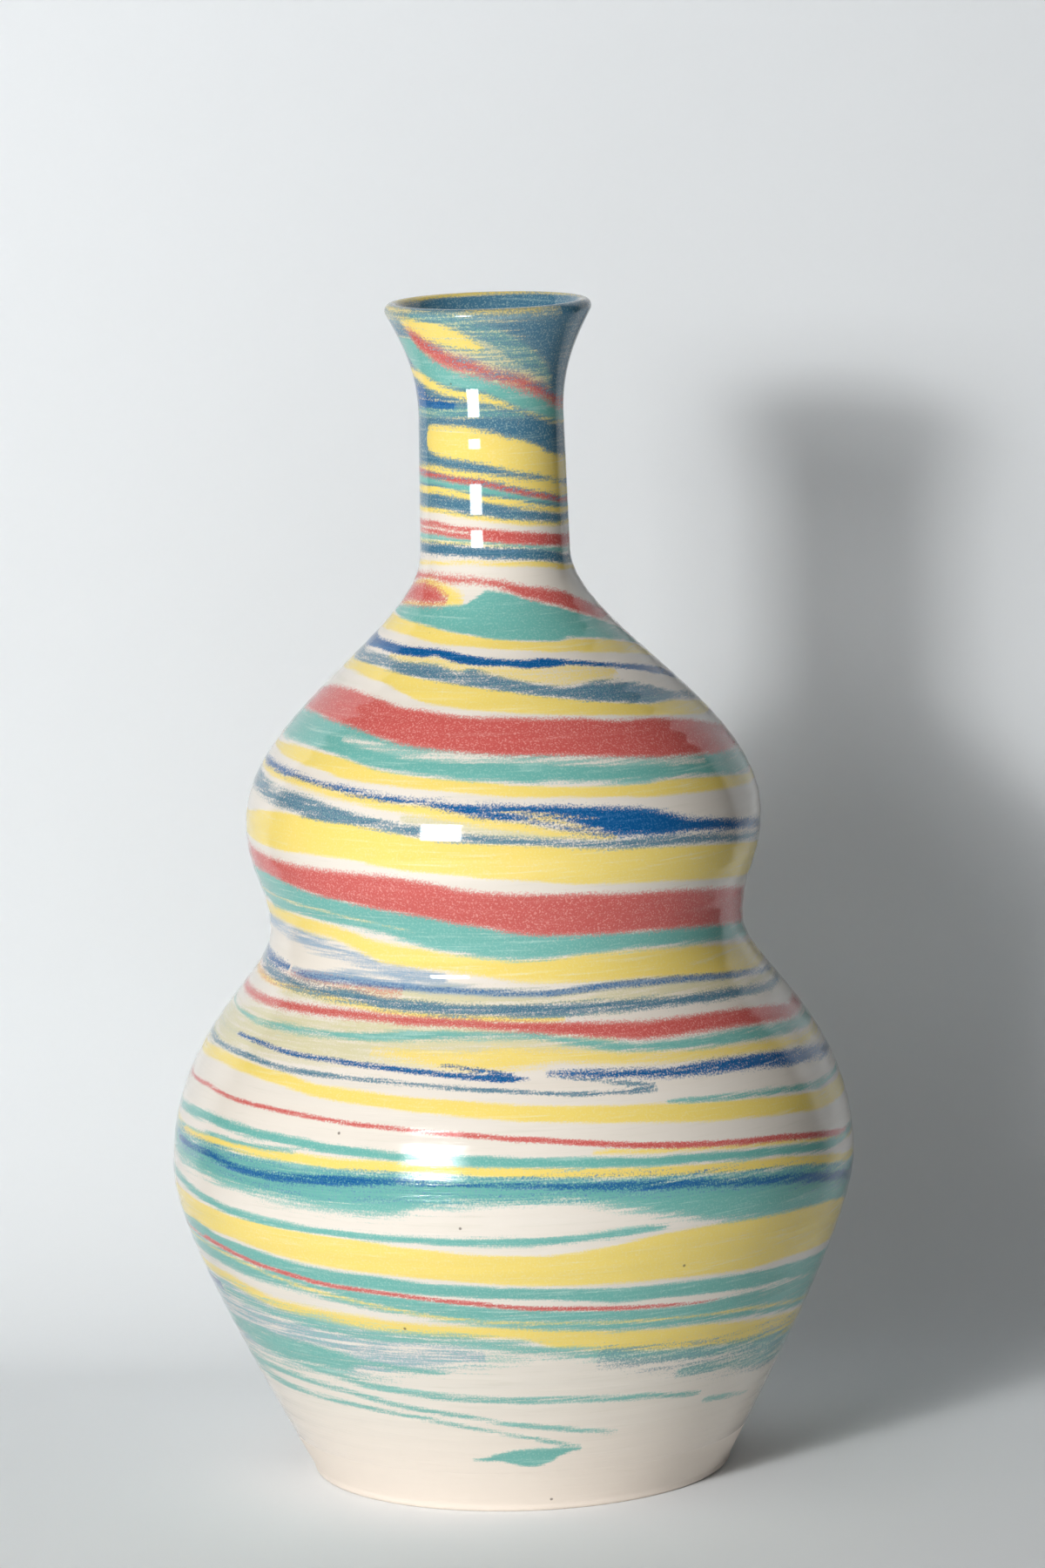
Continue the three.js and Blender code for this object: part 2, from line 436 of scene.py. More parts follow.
        (470, 936, 944), (500, 938, 950), (540, 940, 956), (580, 945, 960), (630, 952, 962)], covers=False),
    "upper slate": Streak("slate", SOFT, 0.7, [
        (297, 880, 905), (313, 903, 920), (338, 912, 928), (352, 916, 937), (376, 924, 943),
        (407, 935, 947), (430, 941, 949), (460, 948, 954), (478, 949, 960), (505, 953, 963),
        (533, 959, 965), (563, 962, 967), (620, 965, 969), (681, 967, 972), (740, 963, 970),
        (800, 959, 965), (870, 956, 961)], "waist slate"),
    "upper blue": Streak("blue", SOFT, 2.0, [
        (308, 868, 876), (315, 874, 880), (329, 882, 890), (340, 887, 891), (357, 894, 897),
        (382, 901, 905), (407, 906, 912), (424, 911, 914), (453, 915, 920), (482, 919, 922),
        (501, 920, 926), (520, 924, 931), (539, 925, 936), (568, 925, 940), (600, 926, 943),
        (637, 926, 950), (676, 927, 955), (704, 927, 957), (733, 928, 957), (750, 931, 957),
        (770, 935, 955), (790, 939, 953), (819, 941, 952), (850, 941, 950), (872, 940, 946)],
        "waist blue"),
    "second fleck in upper blue": Streak("yellow", CRISP, 0.7, [
        (560, 930, 932), (600, 931, 935), (640, 934, 937), (680, 938, 940)]),
    "fleck in upper blue": Streak("yellow", SOFT, 0.9, [
        (608, 938, 941), (622, 936, 943), (636, 938, 946), (656, 944, 950), (680, 950, 954)]),
    "upper bold yellow": Streak("yellow", CRISP, FULL, [
        (285, 930, 956), (305, 930, 970), (323, 932, 976), (360, 939, 980), (399, 945, 985),
        (430, 951, 992), (466, 960, 999), (491, 963, 1001), (521, 967, 1004), (551, 969, 1008),
        (581, 970, 1009), (620, 971, 1011), (656, 973, 1015), (698, 974, 1013),
        (770, 972, 1010), (841, 968, 1006), (872, 964, 1000)], "belly yellow"),
    "waist green": Streak("green", SOFT, FULL, [
        (310, 996, 1030), (315, 1005, 1040), (344, 1014, 1047), (395, 1028, 1061),
        (445, 1038, 1072), (496, 1048, 1088), (530, 1053, 1094), (555, 1058, 1098),
        (590, 1064, 1101), (622, 1067, 1101), (672, 1066, 1093), (723, 1064, 1087),
        (800, 1057, 1080), (849, 1053, 1075), (862, 1049, 1070)], "belly green"),
    "line in waist green": Streak("yellow", CRISP, 0.6, [
        (325, 1030, 1033), (380, 1046, 1049), (440, 1060, 1063), (470, 1068, 1070)]),
    "second red": Streak("red", SOFT, FULL, [
        (288, 970, 985), (306, 982, 1000), (327, 991, 1011), (360, 998, 1025), (400, 1003, 1035),
        (430, 1006, 1042), (454, 1008, 1046), (478, 1012, 1050), (503, 1017, 1055),
        (527, 1023, 1060), (555, 1026, 1064), (590, 1028, 1070), (622, 1028, 1073),
        (670, 1027, 1072), (723, 1026, 1069), (780, 1023, 1064), (837, 1019, 1059),
        (862, 1018, 1054)], "third red"),
    "waist yellow": Streak("yellow", SOFT, FULL, [
        (312, 1038, 1048), (319, 1040, 1052), (386, 1063, 1077), (440, 1083, 1104),
        (481, 1089, 1110), (511, 1095, 1113), (542, 1099, 1117), (562, 1101, 1121),
        (600, 1103, 1125), (640, 1101, 1127), (670, 1095, 1126), (740, 1090, 1122),
        (800, 1086, 1118), (845, 1083, 1115), (866, 1080, 1110)], "second belly yellow"),
    "waist speckle": Streak("mist", FUZZY, 0.3, [
        (318, 1054, 1062), (340, 1066, 1074), (370, 1080, 1089), (400, 1092, 1102),
        (434, 1103, 1114), (460, 1108, 1121), (476, 1113, 1125), (500, 1119, 1128)], covers=False),
    "waist olive": Streak("olive", HAZE, 0.4, [
        (330, 1126, 1136), (400, 1136, 1148), (486, 1142, 1152), (600, 1145, 1155),
        (700, 1138, 1150), (800, 1128, 1138), (880, 1118, 1128)], covers=False),
    "waist brown": Streak("red", FUZZY, -0.3, [
        (312, 1115, 1123), (350, 1121, 1130), (392, 1131, 1139), (430, 1136, 1143),
        (455, 1138, 1142)], covers=False),
    "waist slate": Streak("slate", SOFT, 0.9, [
        (410, 1140, 1150), (440, 1147, 1157), (460, 1149, 1159), (491, 1151, 1163),
        (522, 1154, 1165), (552, 1155, 1165), (600, 1154, 1166), (640, 1152, 1166),
        (690, 1150, 1160), (762, 1146, 1155), (830, 1136, 1145), (884, 1127, 1134)],
        "slate hairpin"),
    "waist blue": Streak("mist", SOFT, FULL, [
        (335, 1108, 1115), (349, 1114, 1124), (400, 1117, 1130), (440, 1124, 1136),
        (465, 1124, 1137), (486, 1131, 1141), (511, 1131, 1142), (532, 1133, 1143),
        (552, 1136, 1145), (573, 1137, 1146), (600, 1138, 1146), (630, 1137, 1145),
        (670, 1131, 1140), (709, 1126, 1134), (770, 1120, 1128), (836, 1115, 1123),
        (884, 1106, 1113)], "blue hairpin"),
    "waist blue grains": Streak("blue", CRISP, -0.1, [
        (349, 1116, 1120), (440, 1128, 1132), (532, 1136, 1140), (630, 1138, 1143),
        (709, 1127, 1133), (770, 1121, 1127), (836, 1116, 1122), (884, 1107, 1112)], covers=False),
    "waist thread": Streak("yellow", SOFT, 1.5, [
        (307, 1119, 1125), (360, 1136, 1142), (418, 1150, 1157), (440, 1157, 1163),
        (498, 1163, 1169), (560, 1166, 1172), (640, 1167, 1173)]),
    "belly olive": Streak("olive", HAZE, 0.5, [
        (240, 1150, 1188), (290, 1160, 1200), (365, 1172, 1212), (430, 1176, 1214),
        (498, 1178, 1214), (560, 1180, 1210), (640, 1190, 1208), (700, 1196, 1204)], covers=False),
    "belly green thread": Streak("green", SOFT, 0.9, [
        (300, 1172, 1174), (330, 1177, 1183), (400, 1186, 1192), (450, 1186, 1193), (500, 1184, 1192),
        (560, 1186, 1191), (614, 1186, 1191), (660, 1193, 1199), (709, 1197, 1205),
        (750, 1197, 1204), (789, 1194, 1203), (850, 1182, 1194), (921, 1164, 1178)]),
    "third red": Streak("red", SOFT, FULL, [
        (286, 1131, 1139), (318, 1147, 1155), (360, 1155, 1163), (402, 1160, 1168),
        (440, 1164, 1171), (466, 1167, 1176), (511, 1170, 1177), (552, 1172, 1180),
        (600, 1174, 1183), (656, 1174, 1187), (700, 1174, 1190), (736, 1174, 1192),
        (780, 1168, 1187), (815, 1163, 1181), (850, 1158, 1176), (884, 1155, 1172),
        (905, 1152, 1168)], "belly red thread"),
    "belly yellow thread": Streak("yellow", FUZZY, 0.8, [
        (440, 1207, 1210), (480, 1208, 1217), (519, 1210, 1226), (560, 1210, 1228),
        (620, 1208, 1222), (653, 1208, 1213)]),
    "belly yellow strand": Streak("yellow", FUZZY, 1.2, [
        (572, 1205, 1212), (640, 1207, 1216), (709, 1209, 1219), (780, 1207, 1216),
        (850, 1200, 1208), (921, 1188, 1197)]),
    "blue hairpin": Streak("blue", THREAD, 0.9, [
        (275, 1184, 1188), (300, 1194, 1199), (333, 1206, 1211), (380, 1214, 1219),
        (434, 1222, 1227), (500, 1230, 1235), (551, 1234, 1240), (575, 1234, 1243),
        (588, 1234, 1242), (596, 1237, 1240)]),
    "blue hairpin, return": Streak("blue", THREAD, 0.5, [
        (519, 1222, 1225), (550, 1226, 1230), (575, 1230, 1236)], covers=False),
    "belly blue": Streak("blue", SOFT, 0.9, [
        (646, 1231, 1235), (700, 1229, 1235), (762, 1227, 1235), (790, 1223, 1233),
        (815, 1219, 1230), (850, 1214, 1227), (879, 1210, 1224), (920, 1203, 1218),
        (948, 1198, 1210)], "belly blue line"),
    "slate hairpin": Streak("slate", THREAD, 0.7, [
        (249, 1190, 1196), (280, 1206, 1212), (312, 1220, 1226), (370, 1231, 1236),
        (445, 1239, 1243), (510, 1246, 1250), (572, 1250, 1254), (656, 1254, 1258),
        (709, 1252, 1256), (746, 1249, 1254)]),
    "slate hairpin, return": Streak("slate", THREAD, 0.4, [
        (640, 1234, 1237), (660, 1236, 1239), (700, 1239, 1243), (741, 1243, 1249)], covers=False),
    "green wisp": Streak("green", CRISP, 0.6, [
        (780, 1262, 1265), (826, 1258, 1262), (880, 1251, 1256), (937, 1241, 1248)]),
    "belly yellow": Streak("yellow", CRISP, FULL, [
        (233, 1193, 1205), (255, 1205, 1218), (286, 1218, 1232), (325, 1231, 1246),
        (365, 1245, 1259), (420, 1253, 1268), (476, 1260, 1276), (540, 1265, 1282),
        (603, 1269, 1287), (656, 1270, 1288), (709, 1269, 1288), (760, 1267, 1287),
        (815, 1266, 1286), (880, 1260, 1280), (942, 1252, 1272)], "bold yellow"),
    "belly red thread": Streak("red", THREAD, FULL, [
        (222, 1231, 1235), (240, 1243, 1247), (265, 1258, 1262), (300, 1268, 1272),
        (339, 1276, 1280), (420, 1290, 1294), (458, 1294, 1298), (490, 1298, 1301),
        (528, 1300, 1305), (560, 1303, 1307), (586, 1305, 1310), (620, 1306, 1311),
        (709, 1311, 1317), (815, 1310, 1317), (900, 1302, 1309), (974, 1293, 1300)],
        "low red thread"),
    "belly green": Streak("green", CRISP, FULL, [
        (206, 1258, 1266), (240, 1276, 1286), (286, 1294, 1304), (330, 1304, 1314),
        (365, 1311, 1321), (420, 1319, 1328), (465, 1323, 1332), (528, 1327, 1338),
        (573, 1328, 1339), (620, 1330, 1340), (709, 1329, 1339), (800, 1325, 1334),
        (880, 1318, 1326), (948, 1310, 1320)], "low green"),
    "second green, left": Streak("green", CRISP, 1.0, [
        (206, 1284, 1288), (250, 1302, 1307), (300, 1314, 1318), (330, 1320, 1323)]),
    "thread beside green": Streak("yellow", CRISP, 1.0, [
        (700, 1320, 1324), (800, 1316, 1320), (900, 1308, 1312), (974, 1300, 1304)]),
    "broad belly green": Streak("green", FUZZY, 1.6, [
        (212, 1299, 1330), (240, 1312, 1348), (259, 1320, 1358), (300, 1330, 1370),
        (339, 1337, 1379), (380, 1342, 1386), (418, 1346, 1392), (455, 1347, 1395),
        (484, 1348, 1384), (535, 1350, 1382), (573, 1352, 1382), (620, 1353, 1380),
        (656, 1353, 1378), (709, 1353, 1384), (762, 1352, 1392), (815, 1349, 1397),
        (860, 1345, 1397), (920, 1338, 1388), (974, 1332, 1375)], "low green band"),
    "second belly yellow": Streak("yellow", CRISP, FULL, [
        (212, 1290, 1299), (250, 1305, 1315), (286, 1315, 1326), (340, 1324, 1335),
        (392, 1331, 1343), (420, 1332, 1345), (465, 1334, 1346), (509, 1337, 1347),
        (548, 1340, 1351), (586, 1340, 1352), (656, 1341, 1352), (740, 1340, 1351),
        (815, 1336, 1347), (900, 1328, 1339), (974, 1322, 1332)], "low yellow"),
    "belly blue line": Streak("blue", CRISP, 0.6, [
        (206, 1300, 1306), (240, 1320, 1327), (275, 1338, 1346), (339, 1348, 1358),
        (390, 1350, 1360), (420, 1352, 1360), (445, 1354, 1359), (475, 1355, 1360),
        (500, 1358, 1361), (560, 1359, 1362), (620, 1359, 1362), (656, 1360, 1365),
        (700, 1358, 1366), (762, 1356, 1364), (850, 1352, 1360), (920, 1347, 1356),
        (974, 1343, 1352)], "green under low yellow", covers=False),
    "belly blue specks": Streak("blue", FUZZY, -0.7, [
        (240, 1318, 1332), (300, 1340, 1358), (340, 1350, 1368), (420, 1352, 1372),
        (520, 1356, 1374), (600, 1357, 1370), (700, 1354, 1370), (800, 1350, 1364),
        (900, 1344, 1358), (974, 1340, 1352)], covers=False),
    "low green thread": Streak("green", CRISP, 1.5, [
        (211, 1350, 1358), (240, 1374, 1382), (267, 1387, 1395), (310, 1400, 1407),
        (360, 1408, 1416), (420, 1416, 1423), (500, 1421, 1429), (560, 1422, 1430),
        (629, 1421, 1429), (670, 1418, 1425), (706, 1413, 1421), (748, 1407, 1412)]),
    "bold yellow": Streak("yellow", CRISP, FULL, [
        (211, 1366, 1390), (221, 1374, 1398), (267, 1396, 1420), (293, 1402, 1431),
        (345, 1414, 1447), (397, 1422, 1457), (450, 1430, 1463), (500, 1437, 1468),
        (560, 1441, 1473), (629, 1443, 1476), (690, 1434, 1474), (758, 1417, 1468),
        (810, 1408, 1463), (861, 1399, 1456), (910, 1388, 1440), (954, 1376, 1420),
        (974, 1370, 1405)]),
    "low green": Streak("green", CRISP, FULL, [
        (225, 1400, 1412), (250, 1418, 1428), (293, 1435, 1449), (330, 1448, 1461),
        (371, 1458, 1472), (420, 1464, 1478), (479, 1472, 1485), (550, 1478, 1490),
        (629, 1480, 1492), (706, 1480, 1494), (770, 1474, 1488), (836, 1466, 1482),
        (900, 1452, 1468), (949, 1432, 1450)], "foot blotch"),
    "low green band": Streak("green", SOFT, 1.2, [
        (240, 1424, 1438), (293, 1452, 1466), (345, 1466, 1482), (400, 1480, 1496),
        (448, 1488, 1506), (500, 1495, 1513), (577, 1503, 1522), (640, 1504, 1526),
        (706, 1504, 1526), (780, 1500, 1520), (861, 1484, 1510), (934, 1458, 1486)]),
    "low red thread": Streak("red", THREAD, FULL, [
        (236, 1417, 1421), (265, 1434, 1438), (293, 1448, 1452), (330, 1460, 1464),
        (371, 1472, 1476), (430, 1481, 1485), (500, 1490, 1494), (550, 1495, 1499),
        (603, 1500, 1504), (660, 1500, 1504), (706, 1500, 1504), (760, 1497, 1500),
        (810, 1493, 1495)]),
    "low yellow thread": Streak("yellow", CRISP, 1.0, [
        (252, 1433, 1437), (290, 1452, 1456), (345, 1474, 1479), (400, 1489, 1494),
        (448, 1500, 1505), (510, 1511, 1515), (577, 1516, 1521), (640, 1517, 1521),
        (706, 1516, 1520), (780, 1510, 1514), (861, 1499, 1504), (934, 1478, 1484)]),
    "low yellow": Streak("yellow", SOFT, FULL, [
        (262, 1462, 1470), (290, 1478, 1487), (319, 1492, 1502), (360, 1502, 1513),
        (397, 1509, 1521), (450, 1517, 1529), (500, 1522, 1534), (560, 1524, 1536),
        (603, 1524, 1536), (634, 1526, 1548), (680, 1527, 1550), (758, 1526, 1550),
        (810, 1520, 1545), (861, 1516, 1540), (913, 1504, 1522)]),
    "green under low yellow": Streak("green", FUZZY, 0.5, [
        (257, 1474, 1480), (280, 1488, 1495), (304, 1499, 1506), (360, 1515, 1523),
        (417, 1529, 1537), (470, 1532, 1540), (526, 1534, 1542), (580, 1541, 1550),
        (629, 1548, 1556), (706, 1551, 1558), (760, 1550, 1558), (810, 1547, 1556),
        (870, 1534, 1545), (913, 1518, 1530)], covers=False),
    "low haze": Streak("green", HAZE, -0.45, [
        (262, 1474, 1520), (304, 1498, 1552), (360, 1516, 1568), (417, 1530, 1576),
        (470, 1540, 1572), (520, 1550, 1562), (600, 1555, 1557)], covers=False),
    "low mist": Streak("mist", HAZE, 0.1, [
        (262, 1474, 1515), (304, 1495, 1545), (360, 1515, 1560), (417, 1530, 1570),
        (470, 1542, 1566), (540, 1556, 1558)], covers=False),
    "low haze, right": Streak("slate", HAZE, -0.5, [
        (700, 1556, 1558), (760, 1552, 1566), (810, 1548, 1570), (860, 1534, 1564),
        (913, 1512, 1543)], covers=False),
    "foot blotch": Streak("green", FUZZY, 1.0, [
        (284, 1518, 1530), (300, 1524, 1545), (319, 1533, 1555), (350, 1541, 1564),
        (380, 1548, 1570), (402, 1555, 1573), (408, 1560, 1568)]),
    "foot dash": Streak("green", CRISP, 0.8, [(407, 1559, 1563), (450, 1567, 1572), (495, 1574, 1579)]),
    "foot blotch, right": Streak("green", FUZZY, 0.3, [
        (790, 1570, 1575), (830, 1562, 1570), (861, 1552, 1566), (890, 1542, 1556),
        (913, 1532, 1545)], covers=False),
    "foot thread": Streak("green", CRISP, 0.5, [
        (340, 1558, 1562), (360, 1566, 1572), (390, 1576, 1582), (422, 1587, 1593),
        (460, 1594, 1599), (500, 1600, 1606), (550, 1603, 1609), (603, 1605, 1611),
        (650, 1604, 1609), (706, 1602, 1608), (750, 1600, 1604), (794, 1598, 1602)], covers=False),
    "foot thread, dash": Streak("green", CRISP, 0.1, [(815, 1603, 1607), (851, 1597, 1601)], covers=False),
    "second foot thread": Streak("green", CRISP, 0.6, [
        (296, 1556, 1562), (330, 1572, 1577), (360, 1582, 1588), (400, 1594, 1599),
        (448, 1609, 1613), (500, 1619, 1623), (552, 1627, 1631), (590, 1633, 1637),
        (629, 1637, 1641), (696, 1642, 1645)]),
    "third foot thread": Streak("green", CRISP, 0.5, [
        (312, 1574, 1580), (335, 1588, 1593), (360, 1598, 1602), (400, 1608, 1612),
        (448, 1619, 1623), (490, 1627, 1631), (526, 1634, 1638), (565, 1642, 1645),
        (603, 1647, 1651), (655, 1658, 1661)], covers=False),
    "foot leaf": Streak("green", CRISP, FULL, [
        (557, 1674, 1677), (575, 1668, 1676), (593, 1665, 1681), (610, 1664, 1683),
        (625, 1664, 1681), (640, 1663, 1672), (657, 1662, 1665)]),
}

def linear(hex_colour):
    """Linear red, green and blue of an sRGB hex colour."""
    channels = [int(hex_colour[i : i + 2], 16) / 255 for i in (1, 3, 5)]
    return [c / 12.92 if c <= 0.04045 else ((c + 0.055) / 1.055) ** 2.4 for c in channels]


def length(name, description, default):
    return FloatProperty(
        name=name, description=description, default=default, min=0, precision=5, unit="LENGTH"
    )


def power(name, description, default):
    return FloatProperty(name=name, description=description, default=default, min=0, unit="POWER")


def angle(name, description, degrees):
    return FloatProperty(
        name=name, description=description, default=math.radians(degrees), unit="ROTATION"
    )


def colour(name, description, hex_colour):
    return FloatVectorProperty(
        name=name, description=description, default=linear(hex_colour), min=0, max=1, subtype="COLOR"
    )


class VaseShape(bpy.types.PropertyGroup):
    """Sizes of the thrown clay."""

    height: length("Height", "From the foot to the crest of the lip", cad_high.z)
    foot_radius: length("Foot Radius", "Half the width of the flat foot", 47.5 * MM)
    belly_radius: length("Belly Radius", "Half the width of the lower bulb", cad_high.x)
    belly_height: length("Belly Height", "Where the lower bulb is widest", 72.5 * MM)
    waist_radius: length("Waist Radius", "Half the width between the bulbs", 54.3 * MM)
    waist_height: length("Waist Height", "Where the waist is narrowest", 127 * MM)
    bulb_radius: length("Bulb Radius", "Half the width of the upper bulb", 59 * MM)
    bulb_height: length("Bulb Height", "Where the upper bulb is widest", 152 * MM)
    neck_root_radius: length("Neck Root Radius", "Half the width where the neck starts", 17.1 * MM)
    neck_root_height: length("Neck Root Height", "Where the neck starts", 213 * MM)
    neck_top_radius: length("Neck Top Radius", "Half the width under the lip", 16.5 * MM)
    neck_top_height: length("Neck Top Height", "Where the lip starts to flare", 244 * MM)
    lip_radius: length("Lip Radius", "Half the width of the lip", 23.3 * MM)
    wall: length("Wall", "Thickness of the wall, glaze included", 6.6 * MM)
    lip_wall: length("Lip Wall", "Thickness of the wall at the lip", 3.4 * MM)
    floor: length("Floor", "Thickness of the floor, glaze included", 8.7 * MM)
    foot_bevel: length("Foot Bevel", "Radius of the edge round the foot", 1.2 * MM)
    glaze_line: length("Glaze Line", "Height of the bare clay above the foot", 10 * MM)
    glaze_step: length("Glaze Step", "How far the glaze stands out over the bare clay", 0.05 * MM)
    ring_spacing: length("Ring Spacing", "From one throwing ring to the next", 4.2 * MM)
    ring_depth: length("Ring Depth", "Height of the throwing rings", 0.04 * MM)


class ClayColours(bpy.types.PropertyGroup):
    """Colours of the fired clays under the clear glaze."""

    cream: colour("Cream", "The pale clay that carries the others", "#E9DFD1")
    red: colour("Red", "Red stained clay", "#D0605A")
    green: colour("Green", "Copper green stained clay", "#72B6AC")
    yellow: colour("Yellow", "Yellow stained clay", "#F7DD77")
    blue: colour("Blue", "Cobalt blue stained clay", "#115A95")
    slate: colour("Slate", "Blue and green clay smeared together", "#4A7892")
    olive: colour("Olive", "Yellow and green clay smeared thin", "#D9D2A6")
    mist: colour("Mist", "Blue clay smeared thin into the cream", "#8AA6BE")


class StudioSettings(bpy.types.PropertyGroup):
    """Light, paper and floor round the vase."""

    key_power: power("Key Power", "Power of the main light", 7.1)
    core_power: power("Core Power", "Power of its bright middle", 4.6)
    key_turn: angle("Key Turn", "How far left of the camera the main light stands", 28)
    key_distance: length("Key Distance", "Along the floor from the vase to the main light", 1.13)
    key_rise: length("Key Rise", "Height of the main light above the floor", 0.537)
    key_width: length("Key Width", "Width of the main light", 0.37)
    key_height: length("Key Height", "Height of the main light", 0.27)
    fill_power: power("Fill Power", "Power of the soft high light", 4.2)
    fill_turn: angle("Fill Turn", "How far left of the camera the soft high light stands", 45)
    fill_distance: length("Fill Distance", "Along the floor from the vase to the high light", 1.2)
    fill_rise: length("Fill Rise", "Height of the soft high light above the floor", 1.7)
    fill_width: length("Fill Width", "Width of the soft high light", 1.2)
    bounce_power: power("Bounce Power", "Power of the light off the table", 0.35)
    bounce_turn: angle("Bounce Turn", "How far left of the camera it comes from", -5)
    bounce_distance: length("Bounce Distance", "Along the floor from the vase to it", 0.6)
    bounce_rise: length("Bounce Rise", "Height of its middle above the floor", 0.03)
    bounce_width: length("Bounce Width", "Width of the light off the table", 0.5)
    bounce_height: length("Bounce Height", "Height of the light off the table", 0.3)
    room_light: FloatProperty(
        name="Room Light", description="Strength of the even light of the room", default=0.025, min=0
    )
    paper: colour("Paper", "Colour of the paper sweep and the floor", "#EEF1F3")
    paper_distance: length("Paper Distance", "From the vase to the upright paper", 0.172)
    paper_reach: length("Paper Reach", "Half the width of the paper", 0.28)
    paper_front: length("Paper Front", "From the vase to the front edge of the paper", 0.35)
    paper_height: length("Paper Height", "Height of the paper", 0.5)
    paper_bend: length("Paper Bend", "Radius of the bend from floor to upright", 0.08)


class Outline(NamedTuple):
    """The finished outside from the foot to the outer edge of the lip, in even steps."""

    radius: np.ndarray
    height: np.ndarray
    along: np.ndarray
    inward: np.ndarray

    def along_at(self, height):
        """Way along the outside; on the crest of the lip it goes on with the height."""
        return np.interp(height, self.height, self.along) + np.maximum(0, height - self.height[-1])

    def radius_at(self, height):
        return np.interp(height, self.height, self.radius)


def outline_of(shape):
    """The outline through the places where the wall turns."""
    crest_rise = shape.lip_wall / 2 * (1 + LIP_FLARE.x / LIP_FLARE.length)
    foot = Vector((shape.foot_radius, 0))
    belly = Vector((shape.belly_radius, shape.belly_height))
    waist = Vector((shape.waist_radius, shape.waist_height))
    bulb = Vector((shape.bulb_radius, shape.bulb_height))
    neck_root = Vector((shape.neck_root_radius, shape.neck_root_height))
    neck_top = Vector((shape.neck_top_radius, shape.neck_top_height))
    lip = Vector((shape.lip_radius, shape.height - crest_rise))
    up = Vector((0, 1))
    neck_third = (neck_top - neck_root) / 3
    stretches = [
        (foot, FOOT_FLARE, belly, up * BELLY_RUN_BELOW),
        (belly, up * BELLY_RUN_ABOVE, waist, up * WAIST_RUN_BELOW),
        (waist, up * WAIST_RUN_ABOVE, bulb, up * BULB_RUN_BELOW),
        (bulb, up * BULB_RUN_ABOVE, neck_root, up * NECK_RUN_BELOW),
        (neck_root, neck_third, neck_top, neck_third),
        (neck_top, up * NECK_RUN_ABOVE, lip, LIP_FLARE),
    ]
    line = []
    for start, leaving, end, arriving in stretches:
        curve = interpolate_bezier(start, start + leaving, end - arriving, end, OUTLINE_SAMPLES)
        line += [tuple(point) for point in curve[:-1]]
    line.append(tuple(lip))
    radius, height = np.array(line).T
    walked = np.concatenate([[0], np.cumsum(np.hypot(np.diff(radius), np.diff(height)))])
    along = np.linspace(0, walked[-1], round(walked[-1] / ROW_STEP) + 1)
    radius = np.interp(along, walked, radius)
    height = np.interp(along, walked, height)
    inward = np.stack([-np.gradient(height, along), np.gradient(radius, along)], axis=1)
    inward /= np.linalg.norm(inward, axis=1, keepdims=True)
    return Outline(radius, height, along, inward)


def smooth(value, start, end):
    """Rises smoothly from 0 at start to 1 at end."""
    share = np.clip((value - start) / (end - start), 0, 1)
    return share * share * (3 - 2 * share)


def wall_at(shape, height):
    """Whole thickness of the wall, which thins towards the lip."""
    thinning = smooth(height, shape.height - LIP_THINNING_LENGTH, shape.height)
    return shape.wall + (shape.lip_wall - shape.wall) * thinning


def arc(centre, start, turn, steps):
    """Points of a round stretch from start, turned about its centre."""
    spoke = Vector(start) - Vector(centre)
    turns = [Matrix.Rotation(turn * i / steps, 2) for i in range(steps + 1)]
    return [tuple(Vector(centre) + rotation @ spoke) for rotation in turns]


def inner_line(shape, outline, depth, step):
    """The line at a depth behind the finished inside, from the floor up to the lip."""
    reach = wall_at(shape, outline.height) - depth
    places = np.stack([outline.radius, outline.height], axis=1) + outline.inward * reach[:, None]
    every = max(1, round(step / ROW_STEP))
    wall = [tuple(p) for p in places if p[1] > shape.floor + FLOOR_CORNER_REACH]
    wall = wall[:-1][::every] + [wall[-1]]
    floor = shape.floor - depth
    wall_start = Vector(wall[0])
    floor_end = Vector((wall_start.x - FLOOR_CORNER_REACH, floor))
    corner = Vector((wall_start.x - depth, floor))
    bend = interpolate_bezier(floor_end, corner, corner, wall_start, BEND_STEPS)
    return [(0, floor)] + [tuple(p) for p in bend[:-1]] + wall


def body_profile(shape, outline):
    """From the middle of the foot up the outside, over the lip and down to the floor."""
    bevel = shape.foot_bevel
    edge_start = shape.glaze_line - GLAZE_EDGE_BELOW
    bare = shape.glaze_step * (1 - smooth(outline.height, edge_start, shape.glaze_line + GLAZE_EDGE_ABOVE))
    outside = np.stack([outline.radius, outline.height], axis=1) + outline.inward * bare[:, None]
    wall = [tuple(p) for p in outside if p[1] > bevel]
    edge = wall[0][0] - bevel
    foot = arc((edge, bevel), (edge, 0), math.pi / 2, BEND_STEPS)[:-1]
    lip_end = Vector(wall[-1])
    lip_centre = lip_end + Vector(outline.inward[-1]) * (shape.lip_wall / 2)
    crest = arc(lip_centre, lip_end, math.pi, BEND_STEPS * 2)[1:]
    finished = inner_line(shape, outline, 0, ROW_STEP)
    tuck = finished[-round(COAT_TUCK / ROW_STEP) : -1]
    inside = inner_line(shape, outline, COAT_THICKNESS + COAT_GAP, INNER_ROW_STEP)
    inside = [p for p in inside if p[1] < tuck[0][1] - CLAY_CLOSING]
    return [(0, 0), *foot, *wall, *crest, *reversed(tuck), *reversed(inside)]


def coat_profile(shape, outline):
    """The inside glaze: its back from the floor up to its thin edge, and its face down again."""
    back = inner_line(shape, outline, COAT_THICKNESS, INNER_ROW_STEP)
    face = inner_line(shape, outline, 0, COAT_ROW_STEP)
    top = face[-1][1] - COAT_TUCK
    back = [p for p in back if p[1] < top - COAT_CLOSING]
    face = [p for p in face if p[1] < top]
    return [*back, *reversed(face)]


